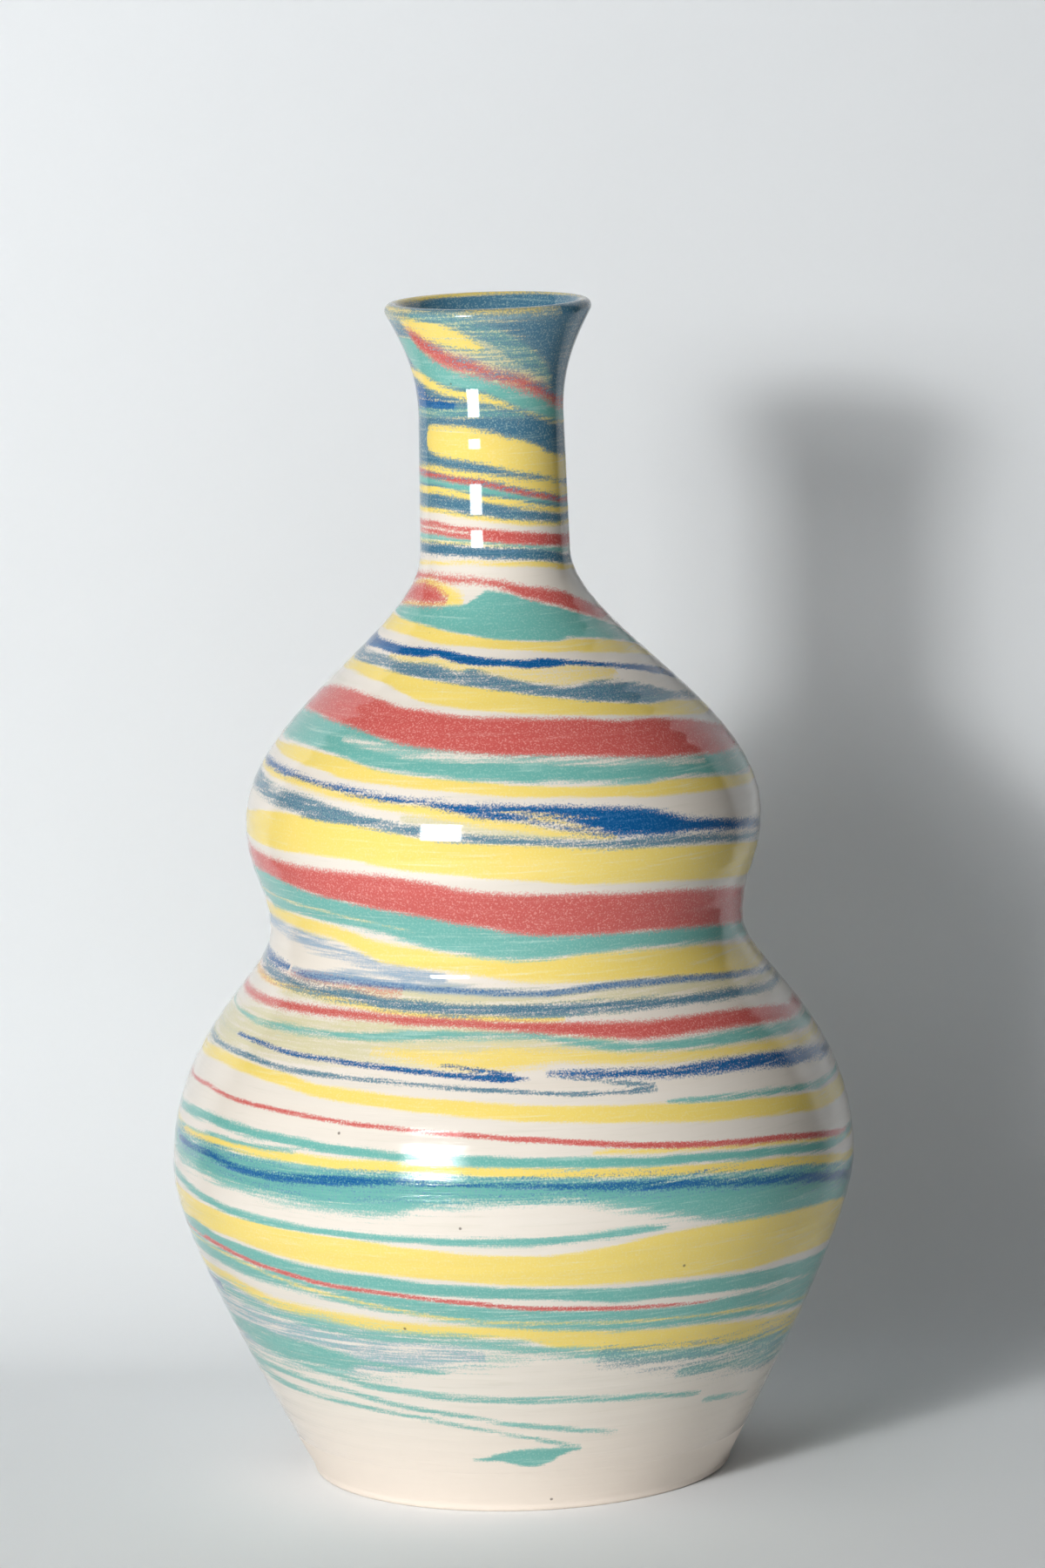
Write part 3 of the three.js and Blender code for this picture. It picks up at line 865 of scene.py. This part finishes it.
def thrown(name, profile, columns):
    """A closed body turned from its profile, in finer columns at the front than at the back."""
    bm = bmesh.new()
    front_turn = math.radians(FRONT_TURN)
    start = Matrix.Rotation(-math.pi / 2 - front_turn / 2, 3, "Z")
    points = [bm.verts.new(start @ Vector((radius, 0, height))) for radius, height in profile]
    last = points + [bm.edges.new(pair) for pair in zip(points, points[1:])]
    for turn, steps in zip((front_turn, 2 * math.pi - front_turn), columns):
        last = bmesh.ops.spin(
            bm, geom=last, cent=(0, 0, 0), axis=(0, 0, 1), angle=turn, steps=steps
        )["geom_last"]
    bmesh.ops.remove_doubles(bm, verts=bm.verts, dist=WELD)
    bmesh.ops.recalc_face_normals(bm, faces=bm.faces)
    mesh = bpy.data.meshes.new(name)
    bm.to_mesh(mesh)
    bm.free()
    mesh.shade_smooth()
    piece = bpy.data.objects.new(name, mesh)
    bpy.context.collection.objects.link(piece)
    return piece


def places_of(mesh):
    """Radius, height and turn from the front, of every vertex."""
    places = np.empty(len(mesh.vertices) * 3)
    mesh.vertices.foreach_get("co", places)
    x, y, height = places.reshape(-1, 3).T
    return np.hypot(x, y), height, np.arctan2(x, -y)


def leave_throwing_rings(mesh, shape, outline):
    """Raises the faint spiral ridges that fingers leave on the outside."""
    radius, height, turn = places_of(mesh)
    wave = np.sin(2 * math.pi * outline.along_at(height) / shape.ring_spacing - turn)
    ends = smooth(height, shape.glaze_line, 2 * shape.glaze_line)
    ends *= 1 - smooth(height, shape.neck_root_height - RING_FADE, shape.neck_root_height)
    outside = radius > outline.radius_at(height) - OUTSIDE_DEPTH
    swollen = radius + np.where(outside, wave * shape.ring_depth * ends, 0)
    moved = np.stack([np.sin(turn) * swollen, -np.cos(turn) * swollen, height], axis=1)
    mesh.vertices.foreach_set("co", moved.ravel())
    mesh.update()


def store(mesh, name, values):
    """Keeps one value for every vertex, for the material to read."""
    attribute = mesh.attributes.new(name, "FLOAT", "POINT")
    attribute.data.foreach_set("value", values.astype(np.float32))


def lean_back(mesh, outline):
    """Stores how far pressing fingers made the wall lean back, as a tilt for the shader."""
    _, height, turn = places_of(mesh)
    upright = -np.interp(height, outline.height, outline.inward[:, 0])
    leaning = -np.interp(height, outline.height, outline.inward[:, 1])
    lean = np.zeros(len(height))
    for middle, tall, tilt in COLLAR_MARKS:
        away = np.abs(height - middle * MM)
        pressed = 1 - smooth(away, tall * MM / 2, tall * MM / 2 + COLLAR_MARK_EDGE)
        lean += (math.tan(math.radians(tilt)) * upright - leaning) * pressed
    aside = np.abs(turn - COLLAR_MARK_TURN)
    lean *= 1 - smooth(aside, COLLAR_MARK_HALF_TURN, COLLAR_MARK_END_TURN)
    away = np.abs(height - BELLY_LEAN_HEIGHT)
    aside = np.abs(turn - BELLY_LEAN_TURN)
    near = 1 - smooth(away, BELLY_LEAN_REACH, BELLY_LEAN_END)
    lean += BELLY_LEAN * near * (1 - smooth(aside, BELLY_LEAN_HALF_TURN, BELLY_LEAN_END_TURN))
    store(mesh, "lean", lean)


def camera_axes():
    """The camera's right, up and forward directions."""
    yaw, pitch, roll = (math.radians(a) for a in (CAMERA_YAW, CAMERA_PITCH, CAMERA_ROLL))
    forward = Vector((math.sin(yaw) * math.cos(pitch), math.cos(yaw) * math.cos(pitch), math.sin(pitch)))
    level = Vector((math.cos(yaw), -math.sin(yaw), 0))
    upright = level.cross(forward)
    right = math.cos(roll) * level + math.sin(roll) * upright
    up = math.cos(roll) * upright - math.sin(roll) * level
    return right, up, forward


def on_the_wall(columns, rows, outline):
    """Turn from the front and way along the outline, where the photograph's points lie."""
    focal = LENS / SENSOR * PHOTO_HEIGHT
    right, up, forward = (np.array(axis) for axis in camera_axes())
    rays = forward * focal
    rays = rays + np.outer(columns - PHOTO_WIDTH / 2, right) - np.outer(rows - PHOTO_HEIGHT / 2, up)
    rays /= np.linalg.norm(rays, axis=1, keepdims=True)
    belly = outline.radius.max()
    steps = np.linspace(CAMERA_DISTANCE - 2 * belly, CAMERA_DISTANCE + 2 * belly, RAY_STEPS)
    camera = np.array((0, -CAMERA_DISTANCE, CAMERA_HEIGHT))
    points = camera + rays[:, None, :] * steps[None, :, None]
    from_axis = np.hypot(points[..., 0], points[..., 1])
    hits = (from_axis < outline.radius_at(points[..., 2])) & (points[..., 2] < cad_high.z)
    nearest = np.where(hits.any(axis=1), hits.argmax(axis=1), from_axis.argmin(axis=1))
    found = points[np.arange(len(points)), nearest]
    return np.degrees(np.arctan2(found[:, 0], -found[:, 1])), outline.along_at(found[:, 2])


def run_of(streak, outline):
    """Turns and places of a streak's upper and lower edge, from its first station to its last."""
    columns, tops, bottoms = np.array(streak.stations, dtype=float).T
    low_turn, low = on_the_wall(columns, bottoms, outline)
    seen = tops >= LIP_ROW
    top_turn, top = on_the_wall(columns, np.where(seen, tops, bottoms), outline)
    top = np.where(seen, top, outline.along[-1] + OVER_LIP)
    ascending = np.arange(len(columns)) * LEAST_TURN
    top_turn = np.maximum.accumulate(top_turn) + ascending
    low_turn = np.maximum.accumulate(low_turn) + ascending
    return [top_turn, top, low_turn, low]


def tapered(run, before):
    """A run drawn out to a point, before its start or after its end."""
    end = 0 if before else -1
    top_turn, top, low_turn, low = (values[end] for values in run)
    turned = max(abs(top_turn), abs(low_turn)) > EDGE_TURN
    reach = (TAPER_TURN if turned else TIP_TURN) * (-1 if before else 1)
    middle = (top + low) / 2 - SINK_PER_TURN * reach / 360
    tip = (top_turn + reach, middle, low_turn + reach, middle)
    if before:
        return [np.concatenate([[t], values]) for t, values in zip(tip, run)]
    return [np.concatenate([values, [t]]) for t, values in zip(tip, run)]


def led_round(run, following):
    """A run carried on round the back, easing down to where the following streak starts."""
    share = np.linspace(0, 1, BACK_STEPS + 1)[1:]
    eased = smooth(share, 0, 1)
    top_turn, top, low_turn, low = (values[0] for values in following)
    starts = (top_turn + 360, top, low_turn + 360, low)
    return [
        np.append(values, values[-1] + (start - values[-1]) * part)
        for values, start, part in zip(run, starts, (share, eased, share, eased))
    ]


def edges_of(run):
    """A streak's two edges on even steps of turn, with their corners rounded."""
    top_turn, top, low_turn, low = run
    turns = np.arange(min(top_turn[0], low_turn[0]), max(top_turn[-1], low_turn[-1]), TURN_STEP)
    window = np.hanning(2 * SMOOTH_STEPS + 1)
    window /= window.sum()
    edges = []
    for places in (np.interp(turns, top_turn, top), np.interp(turns, low_turn, low)):
        padded = np.pad(places, SMOOTH_STEPS, mode="edge")
        edges.append(np.convolve(padded, window, mode="valid"))
    return turns, *edges


def marbling(height, turn, outline):
    """How deep each vertex lies in each clay, counted in widths of the streak's soft edge."""
    along = outline.along_at(height)
    turn = np.degrees(turn)
    runs = {name: run_of(streak, outline) for name, streak in STREAKS.items()}
    followed = {streak.leads_to for streak in STREAKS.values()}
    depths = {clay: np.full(len(along), UNTOUCHED) for clay in CLAYS}
    for name, streak in STREAKS.items():
        run = runs[name]
        if name not in followed:
            run = tapered(run, before=True)
        if streak.leads_to:
            run = led_round(run, runs[streak.leads_to])
        else:
            run = tapered(run, before=False)
        turns, top, low = edges_of(run)
        for lap in (0, 360):
            here = turn + lap
            inside = np.minimum(np.interp(here, turns, top) - along, along - np.interp(here, turns, low))
            depth = np.minimum(inside / streak.edge + SPREAD, streak.fullest)
            depth[(here < turns[0]) | (here > turns[-1])] = UNTOUCHED
            cover = -depth if streak.clay == "cream" else OVERLAP - depth
            for clay in CLAYS:
                if clay == streak.clay:
                    depths[clay] = np.maximum(depths[clay], depth)
                elif streak.covers:
                    depths[clay] = np.minimum(depths[clay], cover)
    return {clay: np.clip(depth, UNTOUCHED, -UNTOUCHED) for clay, depth in depths.items()}


def marble(mesh, outline):
    """Stores the marbling on the mesh, one attribute for each clay."""
    _, height, turn = places_of(mesh)
    for clay, depth in marbling(height, turn, outline).items():
        store(mesh, clay, depth)


def add_node(tree, kind, inputs=None, output=0, **settings):
    """Adds a node with its settings and links, and gives the output that is asked for.

    An input is a plain value, or the output of another node.
    """
    made = tree.nodes.new(kind)
    for name, value in settings.items():
        setattr(made, name, value)
    for name, value in (inputs or {}).items():
        if isinstance(value, bpy.types.NodeSocket):
            tree.links.new(value, made.inputs[name])
        else:
            made.inputs[name].default_value = value
    return made.outputs[output] if made.outputs else None


def new_material(name):
    """An empty material and its node tree."""
    material = bpy.data.materials.new(name)
    material.use_nodes = True
    material.node_tree.nodes.clear()
    return material, material.node_tree


def with_alpha(rgb):
    return (*rgb, 1)


def glazed_clay(name, colours, shape, outside):
    """Marbled stoneware under a clear shiny glaze: coloured clays wedged and thrown together.

    To the eye: grainy colours drawn out along the turn with feathered edges, a wet gloss with
    slight ripples over them, and a dry warm foot where the glaze stops, made paler low down with
    painted bounce light.
    """
    material, tree = new_material(name)
    place = add_node(tree, "ShaderNodeTexCoord", output="Object")
    grain = add_node(tree, "ShaderNodeTexNoise", {"Vector": place, "Scale": 1 / GRAIN, "Detail": 1})
    ripple = add_node(tree, "ShaderNodeTexNoise", {"Vector": place, "Scale": 1 / RIPPLE, "Detail": 1})
    drawn_out = []
    for size, stretch in ((SMEAR, SMEAR_STRETCH), (BLEND, BLEND_STRETCH)):
        flattened = add_node(tree, "ShaderNodeMapping", {"Vector": place, "Scale": (1, 1, stretch)})
        drawn_out.append(
            add_node(
                tree, "ShaderNodeTexNoise",
                {
                    "Vector": flattened,
                    "Scale": 1 / size,
                    "Detail": SMEAR_DETAIL,
                    "Roughness": SMEAR_ROUGHNESS,
                },
            )
        )
    smear, blend = drawn_out
    specks, wisps = [
        add_node(
            tree, "ShaderNodeMapRange", {"Value": noise, "From Min": start, "From Max": full},
            interpolation_type="SMOOTHSTEP",
        )
        for noise, (start, full) in ((grain, SPECK_WINDOW), (smear, WISP_WINDOW))
    ]
    faint = add_node(tree, "ShaderNodeMath", {0: wisps, 1: WISP_SHARE}, operation="MULTIPLY")
    layers = [(blend, with_alpha(linear(PALE_CREAM))), (faint, with_alpha(linear(FAINT_WISP)))]
    roughness = GLAZE_ROUGHNESS
    facing = add_node(tree, "ShaderNodeNewGeometry", output="Normal")
    if outside:
        height = add_node(tree, "ShaderNodeSeparateXYZ", {0: place}, output="Z")
        wavy = add_node(
            tree, "ShaderNodeMath", {0: blend, 1: GLAZE_WAVE, 2: height}, operation="MULTIPLY_ADD"
        )
        bare = add_node(
            tree, "ShaderNodeMapRange",
            {
                "Value": wavy,
                "From Min": shape.glaze_line + GLAZE_EDGE_ABOVE,
                "From Max": shape.glaze_line + GLAZE_EDGE_BELOW,
            },
        )
        roughness = add_node(
            tree, "ShaderNodeMapRange", {"Value": bare, "To Min": GLAZE_ROUGHNESS, "To Max": BARE_ROUGHNESS}
        )
        # Warm blush near the foot, paler than the clay's own colour: painted bounce light off the floor
        blush_and_bounce = add_node(
            tree, "ShaderNodeMapRange",
            {
                "Value": wavy,
                "From Min": shape.glaze_line + BLUSH_AND_BOUNCE_REACH,
                "From Max": shape.glaze_line,
                "To Max": BLUSH_AND_BOUNCE_SHARE,
            },
            interpolation_type="SMOOTHSTEP",
        )
        layers.append((blush_and_bounce, with_alpha(linear(BLUSH_AND_PAINTED_BOUNCE))))
        lean = add_node(tree, "ShaderNodeAttribute", output="Fac", attribute_name="lean")
        raised = add_node(tree, "ShaderNodeCombineXYZ", {"Z": lean})
        facing = add_node(tree, "ShaderNodeVectorMath", {0: facing, 1: raised}, operation="ADD")
        facing = add_node(tree, "ShaderNodeVectorMath", {0: facing}, operation="NORMALIZE")
        belly = add_node(
            tree, "ShaderNodeMapRange",
            {"Value": height, "From Min": shape.waist_height, "From Max": shape.belly_height},
        )
        facing = add_node(
            tree, "ShaderNodeBump",
            {"Height": smear, "Strength": belly, "Distance": SMEAR_HEIGHT, "Normal": facing},
        )
    for clay, mingling in CLAYS.items():
        depth = add_node(tree, "ShaderNodeAttribute", output="Fac", attribute_name=clay)
        for noise, share in ((grain, mingling.grainy_edge), (smear, mingling.smeared_edge)):
            centred = add_node(
                tree, "ShaderNodeMath", {0: noise, 1: 2 * share, 2: -share}, operation="MULTIPLY_ADD"
            )
            depth = add_node(tree, "ShaderNodeMath", {0: depth, 1: centred}, operation="ADD")
        mask = add_node(
            tree, "ShaderNodeMapRange", {"Value": depth, "From Min": -1, "From Max": 1},
            interpolation_type="SMOOTHSTEP",
        )
        speckled = add_node(tree, "ShaderNodeMath", {0: specks, 1: mingling.specks}, operation="MULTIPLY")
        paled = add_node(
            tree, "ShaderNodeMath", {0: wisps, 1: mingling.wisps, 2: speckled},
            operation="MULTIPLY_ADD",
            use_clamp=True,
        )
        deep = with_alpha(getattr(colours, clay))
        pale = with_alpha(linear(mingling.pale))
        own = add_node(
            tree, "ShaderNodeMix", {MIX_FACTOR: paled, MIX_A: deep, MIX_B: pale},
            output=MIX_RESULT,
            data_type="RGBA",
        )
        layers.append((mask, own))
    cells = add_node(
        tree, "ShaderNodeTexVoronoi", {"Vector": place, "Scale": 1 / PINHOLE_SPACING}, output="Distance"
    )
    edge = PINHOLE_WIDTH / PINHOLE_SPACING
    pinhole = add_node(
        tree, "ShaderNodeMapRange",
        {"Value": cells, "From Min": edge, "From Max": edge / 2, "To Max": PINHOLE_SHARE},
    )
    layers.append((pinhole, with_alpha(linear(PINHOLE_BROWN))))
    mixed = with_alpha(colours.cream)
    for share, layer in layers:
        mixed = add_node(
            tree, "ShaderNodeMix", {MIX_FACTOR: share, MIX_A: mixed, MIX_B: layer},
            output=MIX_RESULT,
            data_type="RGBA",
        )
    relief = add_node(
        tree, "ShaderNodeBump",
        {"Height": ripple, "Strength": 1, "Distance": RIPPLE_HEIGHT, "Normal": facing},
    )
    surface = add_node(
        tree, "ShaderNodeBsdfPrincipled",
        {"Base Color": mixed, "Roughness": roughness, "IOR": GLAZE_IOR, "Normal": relief},
    )
    add_node(tree, "ShaderNodeOutputMaterial", {"Surface": surface})
    return material


def pale_to_the_eye(tree, direction):
    """1 where the room looks pale to the eye: all round, but in a shine only behind the vase."""
    back = add_node(tree, "ShaderNodeSeparateXYZ", {0: direction}, output="Y")
    start, full = SHINE_WINDOW
    behind = add_node(tree, "ShaderNodeMapRange", {"Value": back, "From Min": start, "From Max": full})
    eye, shine, glass = [
        add_node(tree, "ShaderNodeLightPath", output=ray)
        for ray in ("Is Camera Ray", "Is Glossy Ray", "Is Transmission Ray")
    ]
    mirrored = add_node(tree, "ShaderNodeMath", {0: shine, 1: glass}, operation="MAXIMUM")
    mirrored = add_node(tree, "ShaderNodeMath", {0: mirrored, 1: behind}, operation="MULTIPLY")
    return add_node(tree, "ShaderNodeMath", {0: eye, 1: mirrored}, operation="MAXIMUM")


def studio_paper(name, paper, one_sided):
    """Matte seamless paper with a faint tooth and no gloss.

    One-sided paper is seen only from its front. The other is the floor, which fades far off into
    the pale room.
    """
    material, tree = new_material(name)
    place = add_node(tree, "ShaderNodeTexCoord", output="Object")
    tooth = add_node(tree, "ShaderNodeTexNoise", {"Vector": place, "Scale": 1 / PAPER_TOOTH})
    shade = [TOOTH_SHADE * channel for channel in paper]
    tone = add_node(
        tree, "ShaderNodeMix", {MIX_FACTOR: tooth, MIX_A: with_alpha(paper), MIX_B: with_alpha(shade)},
        output=MIX_RESULT,
        data_type="RGBA",
    )
    surface = add_node(tree, "ShaderNodeBsdfDiffuse", {"Color": tone})
    if one_sided:
        share = add_node(tree, "ShaderNodeNewGeometry", output="Backfacing")
        other = add_node(tree, "ShaderNodeBsdfTransparent")
    else:
        away = add_node(tree, "ShaderNodeVectorMath", {0: place}, output="Value", operation="LENGTH")
        start, full = FAR_FLOOR
        far = add_node(
            tree, "ShaderNodeMapRange", {"Value": away, "From Min": start, "From Max": full},
            interpolation_type="SMOOTHSTEP",
        )
        direction = add_node(tree, "ShaderNodeVectorMath", {0: place}, operation="NORMALIZE")
        seen = pale_to_the_eye(tree, direction)
        share = add_node(tree, "ShaderNodeMath", {0: far, 1: seen}, operation="MULTIPLY")
        other = add_node(tree, "ShaderNodeEmission", {"Color": tone, "Strength": FAR_GLOW})
    surface = add_node(tree, "ShaderNodeMixShader", {0: share, 1: surface, 2: other})
    add_node(tree, "ShaderNodeOutputMaterial", {"Surface": surface})
    return material


def staged(name, bm, material):
    """An object of the stage made of a bmesh."""
    mesh = bpy.data.meshes.new(name)
    bm.to_mesh(mesh)
    bm.free()
    mesh.materials.append(material)
    made = bpy.data.objects.new(name, mesh)
    bpy.context.collection.objects.link(made)
    return made


def beside(turn, distance, height):
    """A place left of the camera direction, at a distance from the axis of the vase."""
    return Vector((-math.sin(turn) * distance, -math.cos(turn) * distance, height))


def softbox(name, place, aim, width, height, watts, mirrored=True):
    """A rectangular light that shines from its place at the aim, and may show in the glaze."""
    lamp = bpy.data.lights.new(name, "AREA")
    lamp.shape = "RECTANGLE"
    lamp.size = width
    lamp.size_y = height
    lamp.energy = watts
    box = bpy.data.objects.new(name, lamp)
    box.location = place
    box.rotation_euler = (aim - place).to_track_quat("-Z", "Y").to_euler()
    box.visible_glossy = mirrored
    bpy.context.collection.objects.link(box)


class VASE_OT_throw_body(bpy.types.Operator):
    """Throws the marbled clay body with its outside glaze"""

    bl_idname = "vase.throw_body"
    bl_label = "Throw Body"
    bl_options = {"REGISTER", "UNDO"}

    def execute(self, context):
        shape = context.scene.vase_shape
        outline = outline_of(shape)
        body = thrown("glazed_body", body_profile(shape, outline), BODY_COLUMNS)
        marble(body.data, outline)
        leave_throwing_rings(body.data, shape, outline)
        lean_back(body.data, outline)
        clays = context.scene.vase_clays
        clay = glazed_clay("marbled stoneware, clear glazed", clays, shape, outside=True)
        body.data.materials.append(clay)
        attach(body, "root")
        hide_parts("clay_body", "outside_glaze")
        return {"FINISHED"}


class VASE_OT_coat_inside(bpy.types.Operator):
    """Coats the inside with glaze, from the floor up to the lip"""

    bl_idname = "vase.coat_inside"
    bl_label = "Coat Inside"
    bl_options = {"REGISTER", "UNDO"}

    def execute(self, context):
        shape = context.scene.vase_shape
        outline = outline_of(shape)
        coat = thrown("inside_coat", coat_profile(shape, outline), COAT_COLUMNS)
        marble(coat.data, outline)
        clays = context.scene.vase_clays
        clay = glazed_clay("marbled stoneware, glazed inside", clays, shape, outside=False)
        coat.data.materials.append(clay)
        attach(coat, "root")
        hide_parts("inside_glaze")
        return {"FINISHED"}


class VASE_OT_set_studio(bpy.types.Operator):
    """Sets up the floor, the paper sweep, the lights and the camera"""

    bl_idname = "vase.set_studio"
    bl_label = "Set Studio"
    bl_options = {"REGISTER", "UNDO"}

    def execute(self, context):
        studio = context.scene.vase_studio
        self.lay_paper(studio)
        self.hang_lights(context.scene, studio)
        self.paint_room(context.scene, studio)
        self.place_camera(context.scene)
        return {"FINISHED"}

    def lay_paper(self, studio):
        floor = bmesh.new()
        bmesh.ops.create_grid(floor, x_segments=1, y_segments=1, size=FLOOR_REACH)
        paper = studio_paper("studio floor paper", studio.paper, one_sided=False)
        staged("studio_floor", floor, paper)
        sweep = bmesh.new()
        bend = studio.paper_bend
        foot_line = studio.paper_distance - bend
        foot = sweep.verts.new((-studio.paper_reach, foot_line, PAPER_LIFT))
        front = sweep.verts.new((-studio.paper_reach, -studio.paper_front, PAPER_LIFT))
        sweep.edges.new((front, foot))
        centre = (-studio.paper_reach, foot_line, PAPER_LIFT + bend)
        bmesh.ops.spin(
            sweep, geom=[foot], cent=centre, axis=(1, 0, 0), angle=math.pi / 2, steps=SWEEP_STEPS
        )
        upper = max(sweep.verts, key=lambda vert: vert.co.z)
        top = sweep.verts.new((-studio.paper_reach, studio.paper_distance, studio.paper_height))
        sweep.edges.new((upper, top))
        across = bmesh.ops.extrude_edge_only(sweep, edges=sweep.edges[:])["geom"]
        moved = [part for part in across if isinstance(part, bmesh.types.BMVert)]
        bmesh.ops.translate(sweep, verts=moved, vec=(2 * studio.paper_reach, 0, 0))
        sweep.normal_update()
        facing_away = [face for face in sweep.faces if face.normal.y > face.normal.z]
        bmesh.ops.reverse_faces(sweep, faces=facing_away)
        for face in sweep.faces:
            face.smooth = True
        paper = studio_paper("seamless paper", studio.paper, one_sided=True)
        staged("paper_sweep", sweep, paper).visible_shadow = False

    def hang_lights(self, scene, studio):
        aim = Vector((0, 0, scene.vase_shape.bulb_height))
        key = beside(studio.key_turn, studio.key_distance, studio.key_rise)
        width = studio.key_width
        height = studio.key_height
        softbox("key_light", key, aim, width, height, studio.key_power)
        middle = key + (aim - key).normalized() * CORE_LEAD
        width /= KEY_TO_CORE
        height /= KEY_TO_CORE
        softbox("key_light_middle", middle, aim, width, height, studio.core_power)
        high = beside(studio.fill_turn, studio.fill_distance, studio.fill_rise)
        width = studio.fill_width
        softbox("soft_high_light", high, aim, width, width, studio.fill_power, mirrored=False)
        low = beside(studio.bounce_turn, studio.bounce_distance, studio.bounce_rise)
        width = studio.bounce_width
        height = studio.bounce_height
        softbox("bounce_light", low, aim, width, height, studio.bounce_power, mirrored=False)

    def paint_room(self, scene, studio):
        scene.world = bpy.data.worlds.new("studio room")
        scene.world.use_nodes = True
        tree = scene.world.node_tree
        direction = add_node(tree, "ShaderNodeTexCoord", output="Generated")
        seen = pale_to_the_eye(tree, direction)
        strength = add_node(
            tree, "ShaderNodeMapRange", {"Value": seen, "To Min": studio.room_light, "To Max": ROOM_GLOW}
        )
        room = tree.nodes["Background"]
        room.inputs["Color"].default_value = with_alpha(linear(ROOM_COLOUR))
        tree.links.new(strength, room.inputs["Strength"])

    def place_camera(self, scene):
        right, up, forward = camera_axes()
        lens = bpy.data.cameras.new("camera")
        lens.sensor_width = SENSOR
        lens.lens = LENS
        camera = bpy.data.objects.new("camera", lens)
        turned = Matrix((right, up, -forward)).transposed().to_4x4()
        place = Matrix.Translation((0, -CAMERA_DISTANCE, CAMERA_HEIGHT))
        camera.matrix_world = place @ turned
        bpy.context.collection.objects.link(camera)
        scene.camera = camera
        scene.view_settings.view_transform = "Standard"


class VASE_PT_sidebar(bpy.types.Panel):
    """Lists the steps that make the vase, and its sizes and colours"""

    bl_idname = "VASE_PT_sidebar"
    bl_label = "Marbled Vase"
    bl_space_type = "VIEW_3D"
    bl_region_type = "UI"
    bl_category = "Vase"

    def draw(self, context):
        for step in STEPS:
            self.layout.operator(step.bl_idname)
        for settings in (context.scene.vase_shape, context.scene.vase_clays, context.scene.vase_studio):
            box = self.layout.box()
            for name in settings.__annotations__:
                box.prop(settings, name)


SETTINGS = {"vase_shape": VaseShape, "vase_clays": ClayColours, "vase_studio": StudioSettings}
STEPS = (VASE_OT_throw_body, VASE_OT_coat_inside, VASE_OT_set_studio)


def register():
    for cls in (*SETTINGS.values(), *STEPS, VASE_PT_sidebar):
        bpy.utils.register_class(cls)
    for name, group in SETTINGS.items():
        setattr(bpy.types.Scene, name, PointerProperty(type=group))


def unregister():
    for name in SETTINGS:
        delattr(bpy.types.Scene, name)
    for cls in reversed((*SETTINGS.values(), *STEPS, VASE_PT_sidebar)):
        bpy.utils.unregister_class(cls)


def main():
    register()
    bpy.ops.vase.throw_body()
    bpy.ops.vase.coat_inside()
    bpy.ops.vase.set_studio()


if __name__ == "__main__":
    main()
